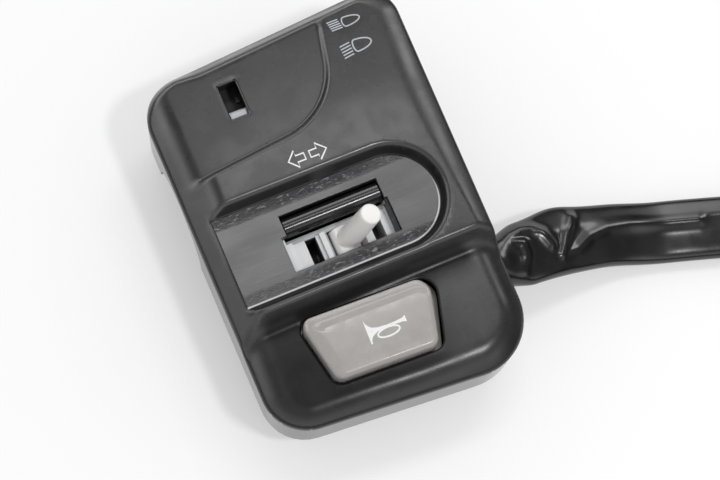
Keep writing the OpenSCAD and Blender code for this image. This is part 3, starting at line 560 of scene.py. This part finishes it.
def add_lead():
    path = lead_path()
    total = float(np.linalg.norm(np.diff(path, axis=0), axis=1).sum())
    places = np.concatenate((np.arange(0, 70, 0.4), np.arange(70, total, 2.5), [total]))
    middles = along_path(path, places)
    ahead = np.gradient(middles, places, axis=0)
    ahead /= np.linalg.norm(ahead, axis=1)[:, None]
    side = np.cross((0, 0, 1.0), ahead)
    side /= np.linalg.norm(side, axis=1)[:, None]
    up = np.cross(ahead, side)
    angles = np.linspace(0, 2 * math.pi, SLEEVE_SIDES, endpoint=False)
    r = SLEEVE_D / 2
    flat = step_up(*FLATTENS, places) * (1 - step_up(*ROUNDS, places))
    wide = r * (1 + WIDER * flat)
    thick = r * (1 - THINNER * flat)
    rings = []
    for i, middle in enumerate(middles):
        sink = (r - thick[i]) * step_up(*SINKS, places[i])
        bulge = BULGE * flat[i] * math.exp(-(((places[i] - BULGE_AT) / BULGE_LONG) ** 2))
        y = (wide[i] + bulge * (np.cos(angles) > 0)) * np.cos(angles)
        z = thick[i] * np.sin(angles)
        crest = CREST_AT * wide[i]
        roof = soft_min(CREST_FALLS[0] * (crest - y), CREST_FALLS[1] * (y - crest), 0.35)
        roof += CREST_LEVEL * thick[i]
        z = np.where(np.sin(angles) > 0, z + flat[i] * (soft_min(z, roof, 0.8) - z), z)
        ring = middle + y[:, None] * side[i] + (z - sink)[:, None] * up[i]
        top = np.clip(np.sin(angles), 0, 1) ** 0.5 * flat[i]
        ring[:, 2] += crease_height(ring[:, :2]) * top
        rings.append(ring)
    verts, faces = loft(rings)
    lead = make_piece("sleeve", verts, faces, SLEEVE, "housing", "sleeve", 80)
    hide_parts("harness_lead", "harness_coil")


# Front shell: its openings
SEAT_GAP = 0.05
SEAT_R = BEZEL_R + SEAT_GAP
SEAT = np.array(
    [(BEZEL_X + SEAT_R * math.cos(a), BEZEL_Y + SEAT_R * math.sin(a))
     for a in np.radians(np.arange(-90, 90.1, 4))]
    + [(BEZEL_LEFT - SEAT_GAP, BEZEL_Y + SEAT_R), (BEZEL_LEFT - SEAT_GAP, BEZEL_Y - SEAT_R)]
)
SLOT = np.array([(-12.75, 11.1), (-8.95, 11.1), (-8.95, 18.7), (-12.75, 18.7)])
HORN_OPEN = rounded([(-16.9, -32.9), (-14.2, -46.7), (8.2, -47.8), (12.3, -33.9)], HORN_RADII, -0.35, 10)
HOLES = [SEAT, SLOT, HORN_OPEN]
# Its levels and slopes
FACE_RISE, RIM_RISE, RIM_SOFT = 2.2, 4.4, 0.25
FACE_TILT, FACE_TILT_Y = math.tan(math.radians(2)), -5
TOP_FALL, TOP_FALL_Y = 0.024, 5.5
LEFT_EDGE_Z, LEFT_SLOPE, CORNER_SLOPE = 14.0, 0.72, 2.6
LOW_SLOPE_Y, LOW_SLOPE_RUN = -27.5, 1.07
POCKET_SLOPE = 0.75
POCKET_BEND, POCKET_BEND_X = 0.0003, 14
POCKET_FALL, POCKET_FALL_Y = 0.03, -34
PAD_DROP, PAD_X = 1, 7.4
WALL_REACH, WALL_RUN = 9.8, 1.9
EDGE_ROLL, EDGE_ROLL_W = 0.25, 0.6
HOLE_ROLL, HOLE_ROLL_W = 0.22, 0.4
# Its mesh: plan steps, bands along edges and wall
GRID_STEP, COARSE_EVERY, BEND_SEEN = 0.42, 3, 0.004
RIM_BAND = 5.5
RIM_INSETS = (0.2, 0.45, 0.75, 1.1, 1.6, 2.2, 2.8, 3.2, 3.6, 4.0, 4.5, 5.2)
CREASE_INSETS = (-0.7, -0.45, -0.2, 0.05, 0.3, 0.55, 0.85, 1.2)
HOLE_OFFSETS = (0.13, 0.28, 0.5)
RIM_STEP, CREASE_STEP, HOLE_STEP = 0.8, 0.45, 0.5
HOLE_CLEAR, CREASE_CLEAR, CREASE_BAND, CREASE_REACH = 0.75, (-1.0, 1.5), 1.3, 12.5
WALL_ROWS, SHELL_WALL = 7, 2.0


def raised_height(p, inset):
    """Height of the raised part: steep at the top, a plain chamfer at the left, a broad one at the right."""
    x, y = p[:, 0], p[:, 1]
    middle, inner = depth_in(p, RAISED_MID), depth_in(p, RAISED_TOP)
    upper = PLATEAU_Z + FACE_RISE * middle / np.maximum(middle - inner, 0.2)
    lower = RIM_Z + RIM_RISE * (inset + RIM_SOFT) / (np.maximum(inset - middle, 0) + RIM_SOFT)
    top = FACE_Z - TOP_FALL * np.maximum(y - TOP_FALL_Y, 0)
    z = soft_min(soft_min(top, upper, 1.5), lower, 1.1)
    left = LEFT_EDGE_Z + LEFT_SLOPE * soft_min(x + HALF_W, CORNER_SLOPE * inset, 0.8)
    plain = step_up(-14, -21, x) * step_up(27, 21, y)
    z = z + plain * (soft_min(top, left, 1.2) - z)
    z = soft_min(z, FACE_Z - (LOW_SLOPE_Y - y) / LOW_SLOPE_RUN, 0.7)
    return soft_min(z, FACE_Z - (FACE_TILT_Y - y) * FACE_TILT, 0.3)


def bezel_reach(p):
    """Distance from the bezel's middle line, whose right end is round."""
    return np.hypot(np.maximum(p[:, 0] - BEZEL_X, 0), p[:, 1] - BEZEL_Y)


def face_height(p):
    """Height of the front shell's outer face."""
    x, y = p[:, 0], p[:, 1]
    inset = depth_in(p, OUTLINE)
    floor = HORN_FLOOR_Z - POCKET_BEND * np.maximum(POCKET_BEND_X - x, 0) ** 2
    floor = floor - POCKET_FALL * np.maximum(POCKET_FALL_Y - y, 0) * step_up(18, 0, x)
    base = soft_min(floor, RIM_Z + POCKET_SLOPE * inset, 1.6)
    z = soft_max(base, raised_height(p, inset), 1.3)
    pad = FACE_Z - PAD_DROP + (x - PAD_X) * FACE_TILT
    share = step_up(-0.45, 0.9, depth_in(p, PAD))
    z = z + share * (soft_min(z, pad, 1.4) - z)
    reach = bezel_reach(p)
    wall = PLATEAU_Z + FACE_RISE * np.maximum(reach - WALL_REACH, 0) / WALL_RUN
    z = soft_min(z, wall, 0.55)
    z = z - EDGE_ROLL * np.maximum(0, 1 - inset / EDGE_ROLL_W) ** 2
    for hole in (SLOT, HORN_OPEN):
        z = z - HOLE_ROLL * np.maximum(0, 1 - np.abs(depth_in(p, hole)) / HOLE_ROLL_W) ** 2
    return z


def bend_of(p, reach=0.5):
    """How far the face lies above the mean of its surroundings: positive at raised edges."""
    around = sum(face_height(p + np.array(d) * reach) for d in [(1, 0), (-1, 0), (0, 1), (0, -1)])
    return face_height(p) - around / 4


def shell_plan():
    """Plan points of the face, with loops for its outer edge and its openings."""
    arc = np.cos(np.linspace(0, math.pi, 27))
    levels = list(BAR_R * arc)
    rim = split(cross_at(OUTLINE, levels + list(EXIT_Y + EXIT_R * arc)), RIM_STEP)
    out = normals_of(rim)
    rings = [rim - out * d for d in RIM_INSETS]
    xs, ys = np.arange(-HALF_W, HALF_W, GRID_STEP), np.arange(-58, 30, GRID_STEP)
    col, row = np.meshgrid(np.arange(len(xs)), np.arange(len(ys)))
    grid = np.stack((xs[col.ravel()], ys[row.ravel()]), 1)
    coarse = (col.ravel() % COARSE_EVERY == 0) & (row.ravel() % COARSE_EVERY == 0)
    inner = depth_in(grid, OUTLINE) > RIM_BAND
    grid, coarse = grid[inner], coarse[inner]
    for hole in HOLES:
        clear = depth_in(grid, hole) < -HOLE_CLEAR
        grid, coarse = grid[clear], coarse[clear]
    grid = grid[coarse | (np.abs(bend_of(grid)) > BEND_SEEN)]
    crease = split(PAD, CREASE_STEP)
    crease = np.concatenate([crease - normals_of(crease) * d for d in CREASE_INSETS])
    crease = crease[(depth_in(crease, OUTLINE) > RIM_BAND) & (np.abs(depth_in(crease, PAD)) < CREASE_BAND)]
    to_crease = depth_in(grid, PAD)
    grid = grid[(to_crease < CREASE_CLEAR[0]) | (to_crease > CREASE_CLEAR[1])]
    loops = [rim]
    loose = rings + [grid, crease[bezel_reach(crease) > CREASE_REACH]]
    for hole in HOLES:
        edge = split(hole, HOLE_STEP)
        loops.append(edge)
        loose += [edge + normals_of(edge) * d for d in HOLE_OFFSETS]
    return loops, np.concatenate(loose)


def shell_faces(loops, loose):
    """Triangles between the loops, without the openings; gives points, faces and the rim's indices."""
    points, edges = [], []
    for loop in loops:
        base = len(points)
        points += [tuple(p) for p in loop]
        edges += [(base + k, base + (k + 1) % len(loop)) for k in range(len(loop))]
    points += [tuple(p) for p in loose]
    made = delaunay_2d_cdt([Vector(p) for p in points], edges, [], 0, 1e-5, True)
    plan = np.array([tuple(v) for v in made[0]])
    middles = np.array([plan[list(f)].mean(0) for f in made[2]])
    keep = depth_in(middles, loops[0]) > 0
    for loop in loops[1:]:
        keep &= depth_in(middles, loop) < 0
    faces = [tuple(f) for f, k in zip(made[2], keep) if k]
    now = {old: new for new, olds in enumerate(made[3]) for old in olds}
    return plan, faces, [now[k] for k in range(len(loops[0]))]


def wall_foot(p):
    """Lower edge of the side wall: the parting plane, with half round cuts for the bar and the lead."""
    bar = math.sqrt(max(0, BAR_R**2 - p[1] ** 2))
    lead = math.sqrt(max(0, EXIT_R**2 - (p[1] - EXIT_Y) ** 2)) if p[0] > 0 else 0
    return max(bar, lead) if abs(p[0]) > 20 else 0


def thicken(verts, faces, thickness):
    """Closed shell from an open surface, thickened inwards."""
    mesh = bpy.data.meshes.new("skin")
    mesh.from_pydata(verts.tolist(), [], faces)
    normals = np.empty(len(mesh.vertices) * 3)
    mesh.vertex_normals.foreach_get("vector", normals)
    inner = verts - normals.reshape(-1, 3) * thickness
    count = len(verts)
    closed = list(faces) + [tuple(i + count for i in reversed(face)) for face in faces]
    seen = {}
    for face in faces:
        for a, b in zip(face, face[1:] + face[:1]):
            seen[a, b] = True
    for a, b in seen:
        if (b, a) not in seen:
            closed.append((b, a, a + count, b + count))
    bpy.data.meshes.remove(mesh)
    return np.concatenate((verts, inner)), closed


def front_shell():
    """Face, side walls and inner skin as one closed shell."""
    plan, faces, rim = shell_faces(*shell_plan())
    verts = np.column_stack((plan, face_height(plan)))
    columns, extra = [], []
    for k in rim:
        top = verts[k]
        foot = wall_foot(top)
        column = [k]
        for j in range(1, WALL_ROWS + 1):
            column.append(len(verts) + len(extra))
            extra.append((top[0], top[1], top[2] + (foot - top[2]) * j / WALL_ROWS))
        columns.append(column)
    for a, b in zip(columns, columns[1:] + columns[:1]):
        for j in range(WALL_ROWS):
            faces.append((a[j], a[j + 1], b[j + 1], b[j]))
    return thicken(np.concatenate((verts, np.array(extra))), faces, SHELL_WALL)


def saddle():
    """Half round seat of the bar, inside the front shell."""
    angles = np.linspace(0, math.pi, 49)
    rings = []
    for x in (-HALF_W + 0.8, HALF_W - 0.8):
        inner = [(x, -BAR_R * math.cos(a), BAR_R * math.sin(a)) for a in angles]
        outer = [(x, -SADDLE_R * math.cos(a), SADDLE_R * math.sin(a)) for a in angles[::-1]]
        rings.append(np.array(inner + outer))
    return loft(rings[::-1])


# Radii of the bosses and of their holes
SCREW_BOSS = (3.2, 2.02)
MODULE_POST = (2.6, 1.27)


def add_front():
    bosses = [boss(p, *SCREW_BOSS, 0, ROOF_Z, 11.1) for p in [(15.5, 17.8), (-17.5, -28.3), (13.5, -45)]]
    posts = [boss(p, *MODULE_POST, 8.9, ROOF_Z, 13.1) for p in [(-19.5, -19.6), (16.3, -19.6)]]
    posts += [boss(p, *MODULE_POST, 6.3, 13, 10.5) for p in [(-20.2, -38), (15.8, -38)]]
    posts += [boss(p, *MODULE_POST, 10, ROOF_Z + 0.6, 14.2) for p in [(-20.5, 17), (-1.4, 21)]]
    webs = [box((x - 1, -8, 12.4), (x + 1, 8, ROOF_Z + 1.4)) for x in (-20, -7, 6, 17)]
    verts, faces = join(front_shell(), saddle(), *bosses, *posts, *webs)
    shell = make_piece("front_shell", verts, faces, HOUSING, "housing", "housing", 55)
    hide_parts("front_housing")
    paint_shell(shell)


def paint_shell(shell):
    """Masks for the shell's material: worn edges, polished walls, and painted shade in the pocket and
    recess.
    """
    points = np.array([v.co for v in shell.data.vertices]) / MM
    plan, x, y = points[:, :2], points[:, 0], points[:, 1]
    top, reach = face_height(plan), bezel_reach(plan)
    wear = np.clip(bend_of(plan) / 0.09 - 0.15, 0, 1) * step_up(0.6, 1.6, depth_in(plan, OUTLINE))
    wear *= step_up(15.6, 16.8, top)
    polish = step_up(0.1, 0.5, top - points[:, 2])
    pocket = step_up(-1.2, 1.2, depth_in(plan, POCKET))
    # Painted shade falls most on the pocket's left and low parts.
    pocket *= np.maximum(step_up(15, 2, x), step_up(-38, -33, y)) * (1 - polish)
    recess = step_up(11.6, 10.9, reach) * step_up(-26, -24.5, x) * (1 - polish)
    polish = np.maximum(polish, np.maximum(0.2 * pocket, 0.85 * recess))
    # The recess walls' painted shade is kept to their low and right parts.
    recess *= np.maximum(step_up(BEZEL_Y + 4, BEZEL_Y - 2, y), step_up(10, 16, x))
    # Painted shade mask: darkens the pocket and the recess walls in the material.
    darker = np.maximum((0.7 + 0.25 * step_up(-36, -33, y)) * pocket, 0.75 * recess)
    for name, values in (("wear", wear), ("polish", polish), ("darker", darker)):
        mask = shell.data.attributes.new(name, "FLOAT", "POINT")
        mask.data.foreach_set("value", values.astype(np.float32))


# Half round rail at the top of the window, on its tab
def add_rail():
    y, z, r, edge = -13.5, 14.5, 2.0, 0.15
    angles = np.linspace(0, 2 * math.pi, 64, endpoint=False)
    circle = np.stack((np.zeros(64), np.cos(angles), np.sin(angles)), 1)
    left, right = -11.8, 9.3
    ends = [(left, r - edge), (left + edge, r), (right - edge, r), (right, r - edge)]
    bar = loft([np.array((x, y, z)) + circle * radius for x, radius in ends])
    tab = box((-14.8, y - 0.9 * r, 12.5), (11.6, y + 0.9 * r, z))
    rail = make_piece("rail", *join(bar, tab), RAIL, "housing", "gloss_black", 35)
    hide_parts("turn_rail")


# Horn button. Its bevel runs from the outer edge (share 0) to the face (share 1): height at the left,
# right and low sides, then height at the upper side, which has two soft steps. The face goes on by inset.
HORN_BEVEL = [
    (0, 16.4, 17.5), (0.012, 16.9, 17.65), (0.04, 17.35, 17.76), (0.09, 17.68, 17.84), (0.25, 18.05, 18.0),
    (0.4, 18.17, 18.12), (0.5, 18.225, 18.175), (0.58, 18.27, 18.19), (0.66, 18.31, 18.205),
    (0.75, 18.355, 18.245), (0.85, 18.4, 18.31), (0.95, 18.435, 18.375), (1.0, 18.45, 18.4),
]
HORN_FACE_EDGE = [(0.12, 18.462, 18.42), (0.28, 18.47, 18.437), (0.5, 18.477, 18.452), (1.1, 18.48, 18.475)]
HORN_FACE_Z, HORN_CROWN = 18.48, 0.03
FLANGE_LOW, FLANGE_TOP = 10.6, 11.9


def add_horn():
    outer = rounded(HORN_PTS, HORN_RADII, 0, 12)
    inner = rounded(HORN_FACE_PTS, HORN_FACE_RADII, 0, 12)
    flange = rounded(HORN_FLANGE_PTS, HORN_RADII, -0.9, 12)
    wall = rounded(HORN_PTS, HORN_RADII, 1.6, 12)
    rings = [at_level(wall, 16.5), at_level(wall, FLANGE_LOW)]
    rings += [at_level(flange, FLANGE_LOW), at_level(flange, FLANGE_TOP)]
    rings += [at_level(outer, z) for z in (FLANGE_TOP, 14.5, 16.0)]
    upper = step_up(0.3, 0.9, normals_of(outer)[:, 1])
    lower = step_up(0.3, 0.9, -normals_of(outer)[:, 1])
    for share, low, step in HORN_BEVEL:
        flatter = 0.45 * (HORN_FACE_Z - low) * lower * step_up(0.05, 0.25, share)
        z = low + (step - low) * upper + flatter
        rings.append(np.column_stack((outer + (inner - outer) * share, z)))
    for inset, low, step in HORN_FACE_EDGE:
        loop = rounded(HORN_FACE_PTS, HORN_FACE_RADII, inset, 12)
        rings.append(np.column_stack((loop, low + (step - low) * upper)))
    middle = np.array(HORN_MID) + (0, 0.2)
    rings += [at_level(middle + (rings[-1][:, :2] - middle) * share, HORN_FACE_Z + HORN_CROWN * (1 - share))
              for share in (0.75, 0.5, 0.25, 0.08)]
    stem = turned(HORN_MID, [(2, 11.1), (2, 16.8)])
    seat = turned(HORN_MID, [(4.5, 15.45), (4.5, 16.8)])
    verts, faces = join(loft(rings), stem, seat)
    cap = make_piece("horn_cap", verts, faces, BUTTON, "horn", "button_grey", 50)
    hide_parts("horn_button")


# Horn spring with closed end turns
SPRING_LOW, SPRING_HIGH = 6.7, 15.4
SPRING_R, SPRING_WIRE, SPRING_TURNS = 3.7, 0.8, 5


def add_spring():
    half = SPRING_WIRE / 2
    first, last, closed = SPRING_LOW + half, SPRING_HIGH - half, 1.05 * SPRING_WIRE
    turn = np.linspace(0, SPRING_TURNS, SPRING_TURNS * 32 + 1)
    heights = [first, first + closed, last - closed, last]
    rise = np.interp(turn, [0, 1, SPRING_TURNS - 1, SPRING_TURNS], heights)
    out = np.stack((np.cos(2 * math.pi * turn), np.sin(2 * math.pi * turn), np.zeros(len(turn))), 1)
    middles = np.append(HORN_MID, 0) + SPRING_R * out
    middles[:, 2] = rise
    along = np.gradient(middles, axis=0)
    up = np.cross(along / np.linalg.norm(along, axis=1)[:, None], out)
    angles = np.linspace(0, 2 * math.pi, 12, endpoint=False)
    rings = [m + half * (np.outer(np.cos(angles), o) + np.outer(np.sin(angles), u))
             for m, o, u in zip(middles, out, up)]
    spring = make_piece("horn_coil", *loft(rings), STEEL, "housing", "screw_steel")
    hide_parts("horn_spring")
    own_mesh(spring)


# Printed symbols
def stroke_loop(loop, width, top, low):
    """Closed band along a loop."""
    out = normals_of(loop)
    rings = []
    for offset, z in [(width / 2, low), (width / 2, top), (-width / 2, top), (-width / 2, low)]:
        rings.append(at_level(loop + out * offset, z))
    return loft(rings + rings[:1], False, False)


def plate(loop, top, low):
    return loft([at_level(np.array(loop, float), low), at_level(np.array(loop, float), top)])


def stroke_line(a, b, width, top, low):
    a, b = np.array(a, float), np.array(b, float)
    half = np.array((-(b - a)[1], (b - a)[0])) / np.linalg.norm(b - a) * width / 2
    return plate([a - half, b - half, b + half, a + half], top, low)


def arrow(tip, head_x, tail_x, y):
    """Outline of a turn arrow that points along x."""
    head, shaft = 1.86, 0.72
    loop = [
        (tip, y), (head_x, y - head), (head_x, y - shaft), (tail_x, y - shaft),
        (tail_x, y + shaft), (head_x, y + shaft), (head_x, y + head),
    ]
    return np.array(loop if tip < tail_x else loop[::-1])


def lamp(x, y, w, h):
    """D outline of a headlamp: its reflector's bulge points along +x."""
    bulge = [(x + w * math.cos(a), y + h * math.sin(a)) for a in np.radians(np.arange(-90, 90.1, 10))]
    front = 0.168 * w
    glass = np.radians(np.arange(80, -80.1, -20))
    return np.array(bulge + [(x - front * math.cos(a), y + h * math.sin(a)) for a in glass])


def on_face(verts, faces):
    """Prints laid on the raised face."""
    verts[:, 2] += face_height(verts[:, :2]) - FACE_Z
    return verts, faces


def add_symbols():
    top, low = FACE_Z + 0.03, FACE_Z - 0.08
    parts = [stroke_loop(arrow(-5.9, -4.1, -2.35, -2.15), 0.36, top, low)]
    parts.append(stroke_loop(arrow(2.35, 0.42, -1.25, -2.2), 0.36, top, low))
    make_piece("turn_arrows", *on_face(*join(*parts)), PRINT_WHITE, "housing", "white_acetal", 30)
    parts = [stroke_loop(lamp(16.7, 21.65, 3.3, 1.05), 0.27, top, low)]
    for y in np.linspace(22.7, 20.7, 5):
        shift = (22.7 - y) * 0.18
        parts.append(stroke_line((13.1 + shift, y), (15.55 + shift, y), 0.25, top, low))
    parts.append(stroke_loop(lamp(16.75, 15.9, 3.4, 1.35), 0.29, top, low))
    for y in np.linspace(17.1, 14.4, 5):
        parts.append(stroke_line((13.5, y - 0.3), (15.75, y), 0.27, top, low))
    make_piece("beam_symbols", *on_face(*join(*parts)), PRINT, "housing", "white_acetal", 30)
    top, low = HORN_TOP + 0.04, HORN_TOP - 0.2
    bell = [
        (-5.17, -37.7), (-5.35, -42.75), (-5.05, -42.75), (-4.9, -42.0), (-4.5, -41.45), (-3.9, -41.1),
        (-3.2, -40.8), (0.4, -40.75), (2.2, -40.85), (2.97, -41.1), (3.0, -39.75), (2.3, -40.08),
        (0.8, -40.2), (-1.0, -40.2), (-2.9, -40.0), (-4.0, -39.65), (-4.6, -39.1), (-4.95, -38.4),
    ]
    round_angles = np.radians(np.arange(0, 360, 12))
    loop = [(-1.15 + 2.3 * math.cos(a), -41.6 + 0.9 * math.sin(a)) for a in round_angles]
    parts = [plate(bell, top, low), stroke_loop(np.array(loop), 0.36, top - 0.004, low)]
    make_piece("horn_symbol", *join(*parts), PRINT_WHITE, "horn", "white_acetal", 30)


# Solids that keep their shape: soft edges and a material
SOFT_EDGES = {
    "turn_bezel": 0.16, "turn_frame": 0.14, "turn_carriage": 0.2, "rear_housing": 0.5,
    "plug_housing": 0.5, "plug_boot": 0.3, "cable_grommet": 0.3,
}


def smooth_group(angle_deg):
    """Modifier nodes that shade faces smooth and keep edges above an angle sharp."""
    group = bpy.data.node_groups.new("smooth_by_angle", "GeometryNodeTree")
    for way in ("INPUT", "OUTPUT"):
        group.interface.new_socket("Geometry", in_out=way, socket_type="NodeSocketGeometry")
    shade = "GeometryNodeSetShadeSmooth"
    chain = [group.nodes.new(kind) for kind in ("NodeGroupInput", shade, shade, "NodeGroupOutput")]
    for a, b in zip(chain, chain[1:]):
        group.links.new(a.outputs[0], b.inputs[0])
    chain[2].domain = "EDGE"
    chain[2].inputs["Shade Smooth"].default_value = False
    angle = group.nodes.new("GeometryNodeInputMeshEdgeAngle")
    sharp = group.nodes.new("FunctionNodeCompare")
    sharp.inputs[1].default_value = math.radians(angle_deg)
    group.links.new(angle.outputs["Unsigned Angle"], sharp.inputs[0])
    group.links.new(sharp.outputs[0], chain[2].inputs["Selection"])
    return group


def dress_nodes():
    smooth = smooth_group(30)
    slots = {part["node"]: part["material_slot"] for part in frame["record"]["subparts"]}
    for name, node in NODES.items():
        node.data.materials.clear()
        node.data.materials.append(SLOT_MATERIALS[slots[name]])
        weld = node.modifiers.new("weld", "WELD")
        weld.merge_threshold = 0.002 * MM
        node.modifiers.new("smooth", "NODES").node_group = smooth
        width = SOFT_EDGES.get(name, 0.0)
        if width:
            bevel = node.modifiers.new("bevel", "BEVEL")
            bevel.width = width * MM
            bevel.segments = 2
            bevel.limit_method = "ANGLE"
            bevel.angle_limit = math.radians(35)
            bevel.harden_normals = True
    NODES["turn_bezel"].data.materials[0] = BEZEL
    NODES["dimmer_slider"].data.materials[0] = SLIDER


# Stage: pale floor, soft light
def seen_share(tree):
    """One for rays that show the background: camera, glossy and transmission."""
    path = tree.nodes.new("ShaderNodeLightPath")
    total = path.outputs["Is Camera Ray"]
    for name in ("Is Glossy Ray", "Is Transmission Ray"):
        larger = tree.nodes.new("ShaderNodeMath")
        larger.operation = "MAXIMUM"
        tree.links.new(total, larger.inputs[0])
        tree.links.new(path.outputs[name], larger.inputs[1])
        total = larger.outputs[0]
    return total


# What glossy rays see of the studio: products of ramps along an axis, from one level to another
WALLS = [("Z", 0.26, 0.42, 0.05, 1.4), ("Z", 0.55, 0.85, 1, 0.2), ("X", 0.4, 0.7, 1, 0.15)]
BACK_WALL = [
    ("Y", 0.12, 0.42, 0, 3.0), ("X", 0.3, 0.7, 1, 0.3), ("Z", 0.22, 0.42, 0, 1), ("Z", 0.6, 0.85, 1, 0),
]
PANE_WAY, PANE_EDGE, PANE_LEVEL = (0.768, 0.294, 0.569), (0.982, 0.994), 5.0
DIFFUSE_LEVEL = 0.60


def add_world():
    """White studio; glossy rays see pale walls, a brighter back and a window pane."""
    world = bpy.data.worlds.new("studio")
    bpy.context.scene.world = world
    world.use_nodes = True
    tree = world.node_tree

    def node(kind, inputs, **settings):
        made = tree.nodes.new(kind)
        for key, value in settings.items():
            setattr(made, key, value)
        for i, value in inputs.items():
            if isinstance(value, bpy.types.NodeSocket):
                tree.links.new(value, made.inputs[i])
            else:
                made.inputs[i].default_value = value
        return made

    def ramp(value, low, high, first, last):
        inputs = {0: value, 1: low, 2: high, 3: first, 4: last}
        return node("ShaderNodeMapRange", inputs, interpolation_type="SMOOTHSTEP").outputs[0]

    def maths(operation, a, b):
        return node("ShaderNodeMath", {0: a, 1: b}, operation=operation).outputs[0]

    way = tree.nodes.new("ShaderNodeTexCoord").outputs["Generated"]
    parts = node("ShaderNodeSeparateXYZ", {0: way})

    def product(ramps):
        total = None
        for axis, *ends in ramps:
            made = ramp(parts.outputs[axis], *ends)
            total = made if total is None else maths("MULTIPLY", total, made)
        return total

    toward = node("ShaderNodeVectorMath", {0: way, 1: PANE_WAY}, operation="DOT_PRODUCT")
    pane = ramp(toward.outputs["Value"], *PANE_EDGE, 0, PANE_LEVEL)
    mirrored = maths("ADD", maths("ADD", product(WALLS), product(BACK_WALL)), pane)
    path = tree.nodes.new("ShaderNodeLightPath")
    level = node("ShaderNodeMix", {0: path.outputs["Is Glossy Ray"], 2: DIFFUSE_LEVEL, 3: mirrored})
    level = node("ShaderNodeMix", {0: path.outputs["Is Camera Ray"], 2: level.outputs[0], 3: 1.0})
    background = tree.nodes["Background"]
    background.inputs["Color"].default_value = (1, 1, 1, 1)
    tree.links.new(level.outputs[0], background.inputs["Strength"])


def add_floor():
    half = 1.5 / MM
    loop = np.array([(-half, -half), (half, -half), (half, half), (-half, half)])
    mesh = bpy.data.meshes.new("floor")
    mesh.from_pydata((at_level(loop, BACK_Z - 0.02) * MM).tolist(), [], [(0, 1, 2, 3)])
    floor = bpy.data.objects.new("floor", mesh)
    bpy.context.scene.collection.objects.link(floor)
    material = bpy.data.materials.new("floor_white")
    material.use_nodes = True
    tree = material.node_tree
    paint = tree.nodes["Principled BSDF"]
    paint.inputs["Base Color"].default_value = (0.70, 0.70, 0.70, 1)
    paint.inputs["Roughness"].default_value = 0.9
    paint.inputs["Specular IOR Level"].default_value = 0
    glow = tree.nodes.new("ShaderNodeEmission")
    tree.links.new(seen_share(tree), glow.inputs["Strength"])
    glow.inputs["Color"].default_value = (0.335, 0.335, 0.339, 1)
    both = tree.nodes.new("ShaderNodeAddShader")
    tree.links.new(paint.outputs[0], both.inputs[0])
    tree.links.new(glow.outputs[0], both.inputs[1])
    tree.links.new(both.outputs[0], tree.nodes["Material Output"].inputs["Surface"])
    mesh.materials.append(material)


def add_lamp(name, place, aim, size, power):
    data = bpy.data.lights.new(name, "AREA")
    data.shape = "RECTANGLE"
    data.size, data.size_y = size
    data.energy = power
    light = bpy.data.objects.new(name, data)
    bpy.context.scene.collection.objects.link(light)
    light.location = place
    light.rotation_euler = (Vector(aim) - Vector(place)).to_track_quat("-Z", "Y").to_euler()


bpy.context.scene.view_settings.view_transform = "Standard"
add_camera()
add_lead()
dress_nodes()
add_front()
add_rail()
add_horn()
add_spring()
add_symbols()
add_world()
add_floor()
add_lamp("softbox", (0.175, 0.1685, 0.70), (0.175, 0.1685, 0), (0.45, 0.113), 1.0)
add_lamp("side", (0.108, -0.21, 0.58), (0, -0.02, 0.015), (0.05, 0.05), 0.9)
